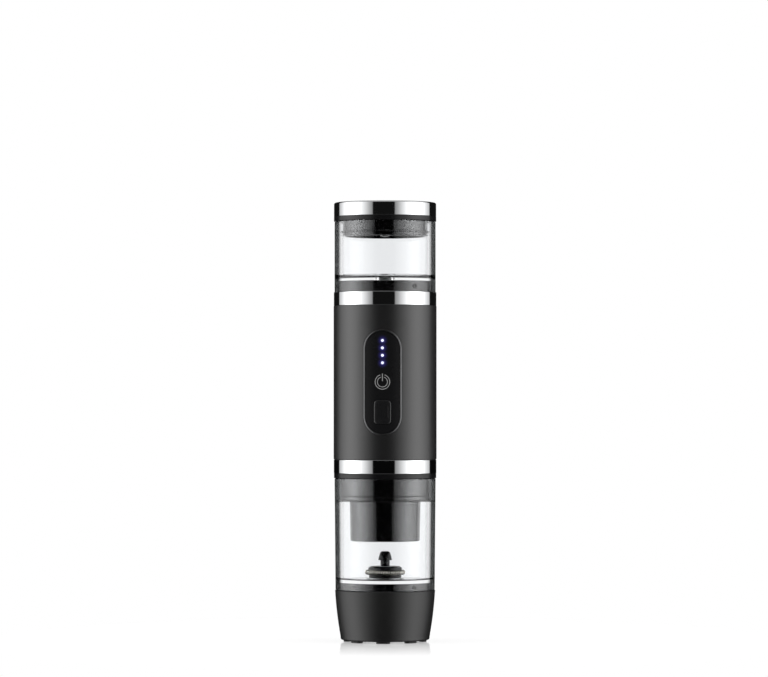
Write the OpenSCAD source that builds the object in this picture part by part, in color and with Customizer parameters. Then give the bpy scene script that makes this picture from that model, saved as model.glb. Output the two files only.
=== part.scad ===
// Portable coffee machine: a lidded water tank, a battery pump body, a capsule holder
// over a clear cup, and a base that spins a milk whisk through the cup's floor.
// Millimetres, Z up, the origin on the table under the middle, the control panel faces -Y.

/* [Body] */
// Outer diameter of the body tube
body_d = 70; // [68:0.5:84]
// Height of the body tube
body_h = 104.5; // [98:0.5:130]
// Wall of the body tube
body_wall = 2.4; // [1.8:0.1:3]
// Height of each polished band on the body
band_h = 9.2; // [7:0.1:14]
// Wall of each polished band
band_wall = 2.4; // [1.8:0.1:3]
// Step from the body's side in to the bands' side
band_step = 0.1; // [0:0.05:0.3]
// Depth and height of the shadow line round the body's foot
reveal = 0.4; // [0.2:0.1:0.8]
// Height of the dark collar under the lower band
lower_collar_h = 3.4; // [2.4:0.1:6]
// Step from the body's side in to the lower collar's side
lower_collar_step = 0.25; // [0:0.05:0.6]
// Height of the cup gasket in the lower collar's underside
cup_gasket_h = 1.2; // [0.8:0.1:1.8]

/* [Control panel] */
// Width of the glossy panel
panel_w = 23.5; // [21:0.1:28]
// Height of the glossy panel
panel_h = 69; // [64:0.5:80]
// Depth of the panel's face below the body's side
panel_recess = 0.5; // [0.2:0.05:1]
// Width of the step round the panel
panel_border = 1.15; // [0.6:0.05:2]
// Thickness of the panel behind the body tube's inner face
panel_back = 1.6; // [1.2:0.1:2.4]
// Width of the flange that holds the panel from inside
panel_flange = 1.6; // [1:0.1:2.4]
// Width of the power button
button_w = 11.6; // [9:0.1:13]
// Height of the power button
button_h = 16.1; // [12:0.1:19]
// Corner radius of the power button
button_corner = 2.5; // [1:0.1:4]
// Height of the button's middle above the panel's lower end
button_rise = 14.5; // [12.5:0.1:18]
// Press of each button
button_travel = 0.6; // [0.3:0.05:1]
// Diameter of each light pipe
led_d = 2; // [1.4:0.1:2.6]
// Spacing of the light pipes
led_pitch = 5; // [3.6:0.1:6]
// Number of light pipes
led_count = 4; // [2:1:5]
// Distance of the top light pipe below the panel's upper end
led_drop = 6.3; // [4.5:0.1:9]

/* [Inside the body] */
// Diameter of each battery cell
cell_d = 18.4; // [14:0.1:20]
// Length of each battery cell
cell_h = 65; // [50:0.5:70]
// Length of the pump motor
pump_motor_h = 40; // [30:0.5:44]
// Height of the pump head
pump_head_h = 19; // [15:0.5:24]
// Outer diameter of the water tubes
tube_d = 6.4; // [5:0.1:8]
// Thickness of the decks and battery plates
deck_t = 3.5; // [2.5:0.1:5]
// Diameter of the pillars between the decks
pillar_d = 5; // [4:0.1:6]
// Thickness of the circuit boards
board_t = 1.6; // [1:0.1:2]
// Width of the control board
board_w = 24; // [20:0.5:30]
// Height of the control board
board_h = 78; // [70:0.5:84]
// Distance of the control board from the core's edge
board_depth = 11.4; // [9:0.1:13]

/* [Water tank] */
// Step from the body's side in to the tank's side
tank_step = 0.6; // [0.2:0.05:1]
// Wall of the water tank
tank_wall = 5; // [3.5:0.1:6]
// Thickness of the tank's floor
tank_floor = 1.8; // [1.4:0.1:3]
// Depth of the tank from its rim to its floor
tank_depth = 38.8; // [28:0.1:80]
// Height of the collar that the tank locks onto
tank_collar_h = 7.1; // [6:0.1:9]
// Depth of the wider mouth of the tank, down to its sloping ledge
tank_mouth_depth = 7.8; // [7.6:0.1:12]

/* [Lid] */
// Step from the body's side in to the lid's side
lid_step = 0.2; // [0:0.05:0.6]
// Height of the lid's dark rim
lid_rim_h = 3.3; // [2.4:0.1:6]
// Height of the lid's polished band
lid_band_h = 9.5; // [7:0.1:14]
// Wall of the lid's polished band
lid_band_wall = 2.4; // [1.8:0.1:3]
// Rounding of the lid's top edge
lid_edge = 1.2; // [0.6:0.1:1.8]
// Length of the plug that hangs in the tank
plug_h = 10.4; // [8.5:0.1:16]
// Wall of the plug
plug_wall = 2; // [1.4:0.1:3]
// Thickness of the plug's ceiling
plug_ceiling = 2; // [1.4:0.1:3]
// Diameter of the vent valve
valve_d = 7.4; // [5:0.1:10]

/* [Brew head and capsule holder] */
// Height of the brew head below the body
head_h = 14.5; // [13:0.1:18]
// Outer diameter of the capsule holder
holder_d = 48.3; // [44:0.1:51]
// Narrowing of the holder's diameter towards its foot
holder_taper = 1.1; // [0:0.1:3]
// Height of the holder below the brew head
holder_h = 28; // [20:0.1:32]
// Wall of the capsule holder
holder_wall = 3.6; // [2.4:0.1:5]
// Thickness of the holder's floor
holder_floor = 2.6; // [2:0.1:4]
// Depth of the hollow under the holder's floor
holder_hollow = 2.4; // [1:0.1:4]
// Depth of the holder's rim inside the brew head
holder_reach = 8.1; // [7.4:0.1:9]
// Turn that frees the capsule holder
holder_turn = 40; // [36:1:60]
// Width of each lug of the holder, as an angle
lug_angle = 26; // [18:1:30]
// Height of each lug
lug_h = 2.4; // [1.8:0.1:3]
// How far each lug stands out
lug_proud = 1.2; // [0.8:0.1:2]
// Diameter of the piercing needle
needle_d = 3.2; // [2.4:0.1:4]

/* [Cup] */
// Step from the body's side in to the cup's rim
cup_step = 0.6; // [0.2:0.05:1]
// Narrowing of the cup's radius from its rim to its foot
cup_taper = 0.7; // [0:0.05:1]
// Wall of the cup at its rim, below the mouth
cup_wall = 5; // [3.6:0.1:5.6]
// Thickness of the cup's floor
cup_floor = 2; // [1.4:0.1:3]
// Depth of the cup from its rim to its floor
cup_depth = 68.4; // [60:0.1:100]
// Step of the wall at the foot of a mouth
mouth_step = 1.4; // [1:0.1:2]
// Height of the sloping ledge at the foot of a mouth
mouth_slope = 2; // [1.4:0.1:3]
// Rounding of the clear walls' inner corner
inner_corner = 3; // [1:0.1:5]
// Rounding of the clear walls' rim
rim_edge = 0.8; // [0.3:0.1:1.2]

/* [Twist locks] */
// Turn that frees the cup and the tank
lock_turn = 25; // [15:1:40]
// Diameter of each locking pin
pin_d = 2.6; // [2:0.1:3]
// How far each locking pin stands out
pin_proud = 0.8; // [0.5:0.05:1]
// Wall of the skirt round the base's collar
skirt_wall = 1.65; // [1.4:0.05:2.2]

/* [Whisk] */
// Diameter of the middle line of the spring ring
spring_ring_d = 24.2; // [20:0.1:28]
// Diameter of the middle line of one curl
curl_d = 2.8; // [2.2:0.1:3.4]
// Diameter of the spring wire
wire_d = 0.55; // [0.4:0.05:0.7]
// Number of curls in the spring ring
curls = 46; // [30:1:50]
// Height of the spring ring above the cup's floor
spring_z = 4.8; // [4.4:0.1:6]
// Height of the whisk above the cup's floor
whisk_h = 18.5; // [16:0.1:24]
// Diameter of the whisk's stem
stem_d = 6.2; // [5.4:0.1:8]
// Diameter of the whisk's barbed head
barb_d = 8.8; // [7.4:0.1:11]
// Height of the barbed head
barb_h = 6; // [4:0.1:8]
// Diameter of the steel seat under the whisk
seat_d = 25.5; // [20:0.1:30]
// Thickness of the steel seat under the whisk
seat_t = 0.9; // [0.6:0.1:1.4]
// Diameter of the spindle
spindle_d = 4; // [3:0.1:4.2]
// Diameter of each magnet
magnet_d = 5; // [4:0.1:5.4]

/* [Base] */
// Height of the base from its lower edge to its shoulder
base_h = 34; // [32:0.5:48]
// Step from the cup's foot out to the base's shoulder
base_step = 0.3; // [0:0.05:0.6]
// Narrowing of the base's radius towards its lower edge
base_taper = 3.9; // [2:0.1:4.5]
// Radius of the curve of the base's side
base_curve = 265; // [150:5:600]
// Rounding of the base's lower edge
base_edge = 1.2; // [0.6:0.1:2]
// Wall of the base at its lower edge
base_wall = 1.6; // [1.4:0.1:2.4]
// Height of the collar that the cup locks onto
base_collar_h = 4.8; // [4.2:0.1:7]
// Thickness of the collar's deck
collar_deck = 1.5; // [1.2:0.1:2]
// Thickness of the base plate
plate_t = 2.5; // [2:0.1:3.5]
// Number of feet
foot_count = 8; // [4:1:8]
// Length of each foot, round the base
foot_l = 9.4; // [7:0.1:10]
// Width of each foot
foot_w = 5; // [4:0.1:6]
// Height of each foot below the base
foot_h = 1.3; // [0.8:0.1:3]
// Depth of each foot in the base plate
foot_sunk = 1; // [0.6:0.1:1.2]
// Diameter of the whisk motor
motor_d = 24.4; // [18:0.1:26]
// Length of the whisk motor
motor_h = 16; // [12:0.1:17]
// Diameter of the motor's shaft
shaft_d = 2; // [1.5:0.1:3]
// Diameter of the magnet carrier
carrier_d = 24; // [22:0.1:26]
// Thickness of the magnet carrier
carrier_h = 3.6; // [3:0.1:4]
// Diameter of the whisk button at the back
whisk_button_d = 11; // [8:0.1:12]
// Height of the whisk button above the base's lower edge
whisk_button_z = 20.5; // [18:0.1:22]
// Width of the base's battery
pouch_w = 34; // [26:0.5:34]
// Length of the base's battery
pouch_l = 26; // [20:0.5:28]
// Thickness of the base's battery
pouch_h = 7; // [5:0.1:8]

/* [Fits] */
// Radial room between pieces that turn or lift off each other
run_gap = 0.25; // [0.2:0.01:0.35]
// Room under a piece that stands on another and moves
seat_gap = 0.15; // [0.1:0.01:0.3]
// Radial room between pieces that stay together
fit_gap = 0.1; // [0.05:0.01:0.15]
// Radial room of a shaft in its bearing
bearing_gap = 0.05; // [0.02:0.01:0.08]

/* [Hidden] */
$fn = 96;
edge_fn = 32;                 // facets of a whole circle in small edges and holes
cut = 1;                      // how far a cut runs past the face that it opens
overlap = 0.5;                // how far joined solids of one piece run into each other
fine_edge = 0.3;              // rounding of trim edges
soft_edge = 0.6;              // rounding of moulded edges
boss_wall = 2;                // wall of a boss round its screw or tube

// Levels, from the table up
base_z = foot_h;
plate_z1 = base_z + plate_t;
shoulder_z = base_z + base_h;
collar_z1 = shoulder_z + base_collar_h;
skirt_z = shoulder_z + seat_gap;
cup_under_z = collar_z1 + run_gap;
cup_floor_z = cup_under_z + cup_floor;
cup_rim_z = cup_floor_z + cup_depth;
lower_collar_z = cup_rim_z + seat_gap;
lower_band_z = lower_collar_z + lower_collar_h;
body_z = lower_band_z + band_h;
upper_band_z = body_z + body_h;
tank_seat_z = upper_band_z + band_h;
tank_collar_z1 = tank_seat_z + tank_collar_h;
tank_skirt_z = tank_seat_z + seat_gap;
tank_under_z = tank_collar_z1 + run_gap;
tank_floor_z = tank_under_z + tank_floor;
tank_rim_z = tank_floor_z + tank_depth;
lid_z = tank_rim_z + seat_gap;
lid_band_z = lid_z + lid_rim_h;
top_z = lid_band_z + lid_band_h;

// Radii of the stack
body_r = body_d / 2;
body_in_r = body_r - body_wall;
band_r = body_r - band_step;
core_r = min(body_in_r, band_r - band_wall) - fit_gap;
lower_collar_r = body_r - lower_collar_step;
tank_r = body_r - tank_step;
tank_in_r = tank_r - tank_wall;
tank_mouth_r = tank_in_r + mouth_step;
lid_r = body_r - lid_step;
plug_r = tank_in_r - 2 * run_gap;
plug_z = lid_z - plug_h;
cup_r = body_r - cup_step;
cup_foot_r = cup_r - cup_taper;
cup_in_r = cup_r - cup_wall;
mouth_r = cup_in_r + mouth_step;
base_r = cup_foot_r + base_step;
base_edge_r = base_r - base_taper;
collar_r = cup_foot_r - skirt_wall - run_gap;

// Lid: the seal's lip rides just above the ledge of the tank's mouth
lid_top_drop = 0.5;           // how far the lid's top lies below its band
lid_shell = 2.4;
seal_h = 1.4;
seal_sunk = 0.6;
seal_proud = 0.6;
seal_lip = 0.6;
seal_rise = 0.65;
seal_foot = 1.5;              // least wall of the plug below the seal
seal_z = max(tank_rim_z - tank_mouth_depth + seal_rise, plug_z + seal_foot + seal_h / 2);

// Twist locks: one pin stands 40 degrees to the right of the front
pin_angles = [310, 70, 190];
pin_root = 1.2;               // how deep a pin is rooted in its collar
tank_pin_z = tank_seat_z + tank_collar_h / 2;
cup_pin_z = shoulder_z + base_collar_h / 2;

// Brew head and holder
head_r = mouth_r - 2 * run_gap;
head_edge = 2;
head_z = lower_collar_z - head_h;
head_clear = 0.4;             // room between the brew head's underside and the foot of the cup's ledge
cup_mouth_depth = cup_rim_z - head_z + head_clear - mouth_slope;
head_shoulder = 1.2;
neck_r = head_r - head_shoulder - fit_gap;
holder_r = holder_d / 2;
head_bore_r = holder_r + 2 * run_gap;
channel_r = holder_r + lug_proud + 1.2 * run_gap;
slot_r = holder_r + lug_proud + run_gap;
holder_z = head_z - holder_h;
holder_rim_z = head_z + holder_reach;
lug_z = head_z + (holder_reach - lug_h) / 2 + lug_h / 4;
lug_angles = [0, 120, 240];
lug_room = 2;                 // angle of room on each side of a lug in its slot
gasket_h = 2;
head_ceiling_z = holder_rim_z + run_gap + gasket_h;
gasket_in_r = holder_r - holder_wall - soft_edge;
gasket_rim = 0.4;             // wall of the lower collar outside the cup gasket
holder_edge = 0.8;
head_web = 2.4;               // thickness of the brew head over the gasket
head_pocket_z = head_ceiling_z + head_web;
spout_z = head_pocket_z + 1.6;
needle_h = 8;
needle_tip = 3;
needle_point = 0.4;
needle_plate_r = 9;
needle_plate_t = 1;
deck_screw_angles = [30, 150, 270];
deck_screw_orbit = 20;
deck_screw_bite = 7;          // length of each deck screw below the deck
deck_screw_l = deck_t + deck_screw_bite;

// Panel and buttons
panel_z = body_z + body_h / 2;
panel_r = body_r - panel_recess;
panel_in_r = body_in_r - panel_back;
button_drop = panel_h / 2 - button_rise;
button_z = panel_z - button_drop;
led_top = panel_h / 2 - led_drop;
button_flange = 1.2;
button_proud = 0.1;
post_r = 2;
post_gap = 0.4;               // room between the button's flange and the board's posts
post_hole = 5;                // depth of the screw hole in each post
post_x = button_w / 2 + button_flange + post_r + post_gap;
post_rise = 20;               // height of each pair of posts above or below the panel's middle
board_y = -(core_r - board_depth);
switch_w = 6;
switch_t = 3.5;
plunger_r = 1.7;
plunger_h = 1.2;
led_block = [2.4, 1.2, 1.6];
pipe_bar = 1.2;               // thickness of the bar that joins the light pipes
pipe_bar_y = board_y - led_block[1] - 2;

// Battery, pump and tubes
cell_r = cell_d / 2;
cell_angles = [30, 90, 150];
core_gap = 0.4;               // room between the core's edge and what stands inside it
cell_orbit = core_r - cell_r - core_gap;
pump_motor_r = cell_orbit - cell_r - 1.4;
pump_r = pump_motor_r + 0.7;
deck_z1 = body_z + deck_t;
upper_deck_z = upper_band_z - deck_t - 2;
upper_deck_z1 = upper_deck_z + deck_t;
pocket = 1.2;                 // depth of a cell's seat
lead_room = 7.4;              // height over the battery's cap
cap_z = upper_deck_z - lead_room - deck_t;
cell_z1 = cap_z + pocket;
cell_z = cell_z1 - cell_h;
tray_z1 = cell_z + pocket;
tray_z = tray_z1 - deck_t;
pillar_angles = [0, 60, 120, 180];
pillar_orbit = core_r - pillar_d / 2 - core_gap;
pump_motor_z = deck_z1 + pump_head_h;
pump_motor_z1 = pump_motor_z + pump_motor_h;
tube_r = tube_d / 2;
tube_wall = 1.2;
tube_bore_r = tube_r - tube_wall;
tube_room = 1;                // room round a tube in the plates that it passes
tube_angle = 206;
tube_orbit = pump_motor_r + tube_r + 2.5;
inlet_z = deck_z1 + pump_head_h / 2;
tube_top_z = tank_seat_z - 1.5;
front_cut_y = board_y + board_t + 1.4;
collar_wall = 2.2;
collar_roof = 2.5;
port_r = 3.4;
port_hole_r = port_r + 1.4;
port_rise = 0.6;              // how far the port stands above the tank's floor
port_groove = 0.5;            // depth of the port's seal groove
groove_lip = 0.1;             // height of the lips above and below the groove

// Charging sockets, shared by the body and the base
socket_w = 9;
socket_t = 3.2;
socket_wall = 0.35;
socket_corner = socket_t / 2 - 0.1;
socket_depth = 6;
tongue = [6.7, 4.6, 0.7];
socket_set_back = 1.4;
charge_board = [18, 12.5];
charge_board_edge = 1.62;     // room between the charging board's back and the core's edge
charge_board_y = sqrt(pow(core_r, 2) - pow(charge_board[0] / 2, 2)) - charge_board[1]
    - charge_board_edge;
charge_socket_y = charge_board_y + 4;
charge_z = deck_z1 + board_t + socket_t / 2;

// Whisk
seat_z1 = cup_floor_z + seat_t;
hub_z = seat_z1 + run_gap;
ring_r = spring_ring_d / 2;
curl_r = curl_d / 2;
wire_r = wire_d / 2;
coil_reach = curl_r + wire_r;
ring_z = cup_floor_z + spring_z;
hub_gap = 0.2;                // room between the spring and the hub's groove
groove_r = ring_r - coil_reach - hub_gap;
lower_disc_r = ring_r - 1.1;
lower_disc_z1 = ring_z - coil_reach - hub_gap;
upper_disc_r = ring_r - 0.65;
upper_disc_z = ring_z + coil_reach + hub_gap;
disc_edge = 0.5;              // height of the upper disc's rim
cone_h = 2.3;
whisk_z1 = cup_floor_z + whisk_h;
barb_z = whisk_z1 - barb_h;
barb_edge = 0.8;              // height of the barb's rim
tip_r = stem_d / 2 - 0.4;
tip_flat_z = whisk_z1 - 0.6 * tip_r;
spindle_z1 = barb_z - 2;
keeper_half = 6;              // half the angle of the block that holds the spring's ends
keeper_angle = 90;
keeper_r = ring_r + coil_reach - 0.4;
magnet_angles = [45, 135, 225, 315];
magnet_orbit = 7.2;
magnet_cover = 0.4;           // least thickness of the whisk's disc over its magnets
magnet_h = min(1.2, lower_disc_z1 - hub_z - magnet_cover);
drive_magnet_h = 2;

// Base
base_arc_p = [base_r, shoulder_z];
base_arc_q = [base_edge_r, base_z + base_edge];
base_arc_d = base_arc_q - base_arc_p;
base_arc_l = norm(base_arc_d);
base_arc_c = (base_arc_p + base_arc_q) / 2 + sqrt(pow(base_curve, 2) - pow(base_arc_l / 2, 2))
    * [base_arc_d[1], -base_arc_d[0]] / base_arc_l;
plate_r = base_edge_r - base_wall;
ledge = 1;
base_in_r = plate_r - ledge;
spigot_h = 3;
spigot_r = collar_r - 2;
spigot_wall = 1.4;
collar_deck_z = collar_z1 - collar_deck;
boss_r = 2.8;
boss_gap = 0.3;
boss_hole = 9;                // depth of the screw hole in each boss
boss_orbit = base_in_r - boss_r - boss_gap;
foot_rim = 0.4;               // distance of the feet from the plate's edge
foot_orbit = plate_r - foot_w / 2 - foot_rim;
foot_angles = [for (i = [0 : foot_count - 1]) 270 + 360 * i / foot_count];
boss_slots = [0, floor(0.3 * foot_count), floor(0.7 * foot_count), foot_count - 1];
boss_angles = [for (k = boss_slots) 270 + 360 * (k + 0.5) / foot_count];
carrier_gap = 0.5;            // room between the carrier and the collar's deck
carrier_z1 = collar_deck_z - carrier_gap;
carrier_z = carrier_z1 - carrier_h;
bracket_t = 1.6;
bracket_gap = 1.2;            // room between the carrier and its bracket
bracket_z1 = carrier_z - bracket_gap;
bracket_z = bracket_z1 - bracket_t;
motor_z = bracket_z - motor_h;
bearing_r = 3;
bearing_h = bracket_t + 0.5;
shaft_end = 3;                // thickness of the motor under its shaft
bracket_post_r = 2.6;
bracket_post_room = 2.2;      // room between the posts and the motor or carrier between them
bracket_angles = [90, 210, 330];
bracket_r = min(max(carrier_d, motor_d) / 2 + bracket_post_room + 2 * bracket_post_r,
    boss_orbit - boss_r - boss_gap);
bracket_post_orbit = bracket_r - bracket_post_r;
whisk_button_r = whisk_button_d / 2;
whisk_flange_r = whisk_button_r + 1;
whisk_flange_t = 1.2;
whisk_button_h = base_z + whisk_button_z;
whisk_flange_y = -run_gap
    + sqrt(pow(inner_r(whisk_button_h - whisk_flange_r), 2) - pow(whisk_flange_r, 2));
whisk_button_proud = 0.3;
back_board_w = 22;
back_board_h = 24;
back_board_y = whisk_flange_y - whisk_flange_t - button_travel - seat_gap - plunger_h - switch_t;
back_socket_rise = 6.2;       // height of the base's socket above the plate
back_socket_z = plate_z1 + back_socket_rise;
pouch_y = -4;
pouch_corner = 2;
slot_rail = 1.6;
rail_w = 3;
rail_h = 4;
rail_in = 2;                  // distance of each rail's middle from the board's side

// Screws: one size for the base, one for boards and brackets
screw_d = 2.5;
screw_head_d = 4.6;
screw_head_h = 1.6;
small_screw_d = 1.8;
small_head_d = 3.4;
small_head_h = 1.2;
screw_room = 0.15;
screw_dip = 0.2;              // depth of a screw's head below the base plate's underside
base_screw_bite = 8;          // length of each base screw in its boss
base_screw_l = plate_t - screw_head_h + base_screw_bite;

function inner_r(z) = base_in_r
    + (spigot_r + fit_gap - base_in_r) * (z - plate_z1) / (shoulder_z - spigot_h - plate_z1);
function arc_x(z) = base_arc_c[0] + sqrt(pow(base_curve, 2) - pow(z - base_arc_c[1], 2));
function smooth(t) = t * t * (3 - 2 * t);
function clamp01(t) = min(1, max(0, t));

// Shared shapes

// A plain ring about Z.
module ring(r_out, r_in, z0, z1) {
    rotate_extrude() translate([r_in, z0]) square([r_out - r_in, z1 - z0]);
}

// A plain disc about Z.
module disc(r, z0, z1) {
    translate([0, 0, z0]) cylinder(r = r, h = z1 - z0);
}

// Copies its child round Z at each angle, out on the orbit.
module around(angles, orbit) {
    for (a = angles) rotate(a) translate([orbit, 0, 0]) children();
}

// Extrudes an outline drawn in X and Z along Y, from y0 to y1.
module along_y(y0, y1) {
    translate([0, y1, 0]) rotate([90, 0, 0]) linear_extrude(y1 - y0) children();
}

// An outline with round ends, taller than it is wide.
module stadium(w, h) {
    square([w, h - w], center = true);
    for (s = [-1, 1]) translate([0, s * (h - w) / 2]) circle(d = w);
}

// A rectangle with round corners.
module round_rect(w, h, r) {
    square([w - 2 * r, h], center = true);
    square([w, h - 2 * r], center = true);
    for (x = [-1, 1], y = [-1, 1]) translate([x * (w / 2 - r), y * (h / 2 - r)]) circle(r = r);
}

// What a rounded edge takes off a corner at x, z that points to sx, sz.
module edge_off(x, z, r, sx, sz) {
    translate([x - sx * r, z - sz * r]) mirror([sx < 0 ? 1 : 0, 0]) mirror([0, sz < 0 ? 1 : 0])
        difference() {
            square(r + cut);
            circle(r = r, $fn = edge_fn);
        }
}

// A screw along Z: its head's underside at zero, the head above and the shank below.
module screw(d, head_d, head_h, length) {
    cylinder(d = head_d, h = head_h);
    translate([0, 0, -length]) cylinder(d = d, h = length + overlap);
}

// Locking pins that stand out of a collar.
module lock_pins(r, z) {
    around(pin_angles, r - pin_root) translate([0, 0, z])
        rotate([0, 90, 0]) cylinder(d = pin_d, h = pin_root + pin_proud);
}

// The runs that the locking pins take in a skirt: along the turn, then down to the open edge.
module lock_runs(r, z, z_open) {
    half = asin((pin_d / 2 + run_gap) / r);
    depth = pin_proud + run_gap;
    for (a = pin_angles) rotate(a - lock_turn - half) {
        rotate_extrude(angle = lock_turn + 2 * half)
            translate([r - cut, z - pin_d / 2 - run_gap])
                square([depth + cut, pin_d + 2 * run_gap]);
        rotate_extrude(angle = 2 * half)
            translate([r - cut, z_open - cut]) square([depth + cut, z - z_open + cut]);
    }
}

// The side of a clear vessel, to be turned: walls, floor, skirt below the floor and a wider mouth.
module vessel_profile(r_rim, r_foot, r_in, r_skirt, z_skirt, z_under, z_floor, z_rim, mouth) {
    r_mouth = r_in + mouth_step;
    ledge_z = z_rim - mouth;
    difference() {
        polygon([[0, z_skirt], [r_foot, z_skirt], [r_rim, z_rim], [0, z_rim]]);
        polygon([[0, z_floor + inner_corner], [r_in, z_floor + inner_corner], [r_in, ledge_z - mouth_slope],
            [r_mouth, ledge_z], [r_mouth, z_rim + cut], [0, z_rim + cut]]);
        translate([0, z_floor]) square([r_in - inner_corner, inner_corner + overlap]);
        translate([r_in - inner_corner, z_floor + inner_corner]) circle(r = inner_corner, $fn = edge_fn);
        translate([0, z_skirt - cut]) square([r_skirt, z_under - z_skirt + cut]);
        edge_off(r_rim, z_rim, rim_edge, 1, 1);
    }
}

// A charging socket shell along Y with its mouth at y1, and the tongue inside it.
module socket(y0, y1, z) {
    translate([0, 0, z]) {
        difference() {
            along_y(y0, y1) round_rect(socket_w, socket_t, socket_corner);
            along_y(y1 - socket_depth, y1 + cut)
                round_rect(socket_w - 2 * socket_wall, socket_t - 2 * socket_wall,
                    socket_corner - socket_wall);
        }
        translate([-tongue[0] / 2, y1 - socket_depth - overlap, -tongue[2] / 2])
            cube([tongue[0], tongue[1] + overlap, tongue[2]]);
    }
}

// The slot in a wall that shows a charging socket.
module socket_slot(y0, y1, z) {
    translate([0, 0, z]) along_y(y0, y1)
        round_rect(socket_w + 2 * run_gap, socket_t + 2 * run_gap, socket_corner + run_gap);
}

// A push switch on a board's face at y, its plunger along dir.
module push_switch(y, z, dir) {
    translate([0, y, z]) rotate([-90 * dir, 0, 0]) {
        translate([-switch_w / 2, -switch_w / 2, 0]) cube([switch_w, switch_w, switch_t]);
        cylinder(r = plunger_r, h = switch_t + plunger_h);
    }
}

// Sweeps a round section along points: at each, n1 is square to the path.
function sweep_rings(pts, normals, r, sides) = [
    for (i = [0 : len(pts) - 1])
        let (t = pts[min(i + 1, len(pts) - 1)] - pts[max(i - 1, 0)],
            n2 = cross(t, normals[i]) / norm(cross(t, normals[i])),
            n1 = cross(n2, t) / norm(t))
        for (k = [0 : sides - 1]) pts[i] + r * (cos(360 * k / sides) * n1 + sin(360 * k / sides) * n2)];

function sweep_faces(count, sides) = concat(
    [for (i = [0 : count - 2], k = [0 : sides - 1])
        let (a = i * sides + k, b = i * sides + (k + 1) % sides) [a, a + sides, b]],
    [for (i = [0 : count - 2], k = [0 : sides - 1])
        let (a = i * sides + k, b = i * sides + (k + 1) % sides) [b, a + sides, b + sides]],
    [for (k = [1 : sides - 2]) [0, k, k + 1]],
    [for (k = [1 : sides - 2]) let (e = (count - 1) * sides) [e, e + k + 1, e + k]]);

module sweep(pts, normals, r, sides) {
    polyhedron(points = sweep_rings(pts, normals, r, sides), faces = sweep_faces(len(pts), sides));
}

// Lid

module lid_cap() {
    cap_h = top_z - lid_top_drop - lid_z;
    color("#191919") rotate_extrude() difference() {
        union() {
            translate([0, lid_z]) square([lid_r, lid_rim_h]);
            translate([0, lid_z]) square([lid_r - lid_band_wall - fit_gap, cap_h]);
        }
        translate([0, lid_z - cut]) square([plug_r - plug_wall, cap_h - lid_shell + cut]);
        edge_off(lid_r, lid_z, fine_edge, 1, -1);
    }
}

module lid_band() {
    edge = min(lid_edge, lid_band_wall * 0.7);
    color("#d8d8da") rotate_extrude() difference() {
        translate([lid_r - lid_band_wall, lid_band_z]) square([lid_band_wall, lid_band_h]);
        edge_off(lid_r, top_z, edge, 1, 1);
        edge_off(lid_r - lid_band_wall, top_z, fine_edge, -1, 1);
    }
}

module lid_plug() {
    color("#202020") rotate_extrude() difference() {
        translate([0, plug_z]) square([plug_r, plug_h]);
        translate([0, plug_z - cut]) square([plug_r - plug_wall, plug_h - plug_ceiling + cut]);
        translate([0, lid_z - plug_ceiling - cut])
            square([valve_d / 4 + fit_gap, plug_ceiling + 2 * cut]);
        translate([plug_r - seal_sunk, seal_z - seal_h / 2]) square([seal_sunk + cut, seal_h]);
        edge_off(plug_r, plug_z, soft_edge, 1, -1);
    }
}

module lid_seal() {
    in_r = plug_r - seal_sunk + fit_gap;
    color("#d9dcdc") rotate_extrude() {
        translate([in_r, seal_z - seal_h / 2 + fit_gap])
            square([seal_sunk + seal_proud, seal_h - 2 * fit_gap]);
        translate([in_r, seal_z - seal_lip / 2]) square([tank_mouth_r - run_gap - in_r, seal_lip]);
    }
}

module vent_valve() {
    r = valve_d / 2;
    under = lid_z - plug_ceiling;
    tip = plug_z + fit_gap;
    dome = 0.75 * r;
    button = [0.85 * r, 1];
    color("#2b2b2b") rotate_extrude() {
        difference() {
            translate([0, tip]) square([r, under - tip]);
            edge_off(r, tip, dome, 1, -1);
        }
        translate([0, under - overlap]) square([r / 2, plug_ceiling + 2 * overlap]);
        translate([0, lid_z]) square(button);
    }
}

// Water tank

module water_tank() {
    color("#dfe6ea", 0.35) difference() {
        rotate_extrude() vessel_profile(tank_r, tank_r, tank_in_r, core_r + run_gap,
            tank_skirt_z, tank_under_z, tank_floor_z, tank_rim_z, tank_mouth_depth);
        disc(port_hole_r, tank_under_z - cut, tank_floor_z + cut);
        lock_runs(core_r + run_gap, tank_pin_z, tank_skirt_z);
    }
}

module tank_filter() {
    r = port_hole_r + 2.4;
    rise = 0.8;
    skin = 0.4;
    hole_r = 0.5;
    hole_pitch = 1.8;
    color("#c9ccce") difference() {
        disc(r, tank_floor_z, tank_floor_z + rise + skin);
        disc(r - skin, tank_floor_z - cut, tank_floor_z + rise);
        for (k = [0 : 3]) let (count = max(1, 6 * k))
            around([for (i = [0 : count - 1]) 360 * i / count], hole_pitch * k)
                disc(hole_r, tank_floor_z, tank_floor_z + rise + skin + cut, $fn = edge_fn);
    }
}

// Body

module tank_collar() {
    roof_z = tank_collar_z1 - collar_roof;
    color("#161616") difference() {
        union() {
            ring(core_r, core_r - collar_wall, upper_deck_z1, tank_collar_z1);
            disc(core_r - overlap, roof_z, tank_collar_z1);
            disc(port_r, roof_z, tank_floor_z + port_rise);
            disc(tube_r, tube_top_z, roof_z + overlap);
            lock_pins(core_r, tank_pin_z);
        }
        disc(tube_bore_r, tube_top_z - cut, tank_floor_z + port_rise + cut);
        ring(port_r + cut, port_r - port_groove, tank_under_z + groove_lip, tank_floor_z - groove_lip);
    }
}

module port_seal() {
    in_r = port_r - port_groove + bearing_gap;
    section = min(tank_floor / 2 - groove_lip - fit_gap, (port_hole_r - run_gap - in_r) / 2);
    color("#3a3a3a") rotate_extrude()
        translate([in_r + section, (tank_under_z + tank_floor_z) / 2]) circle(r = section);
}

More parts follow.
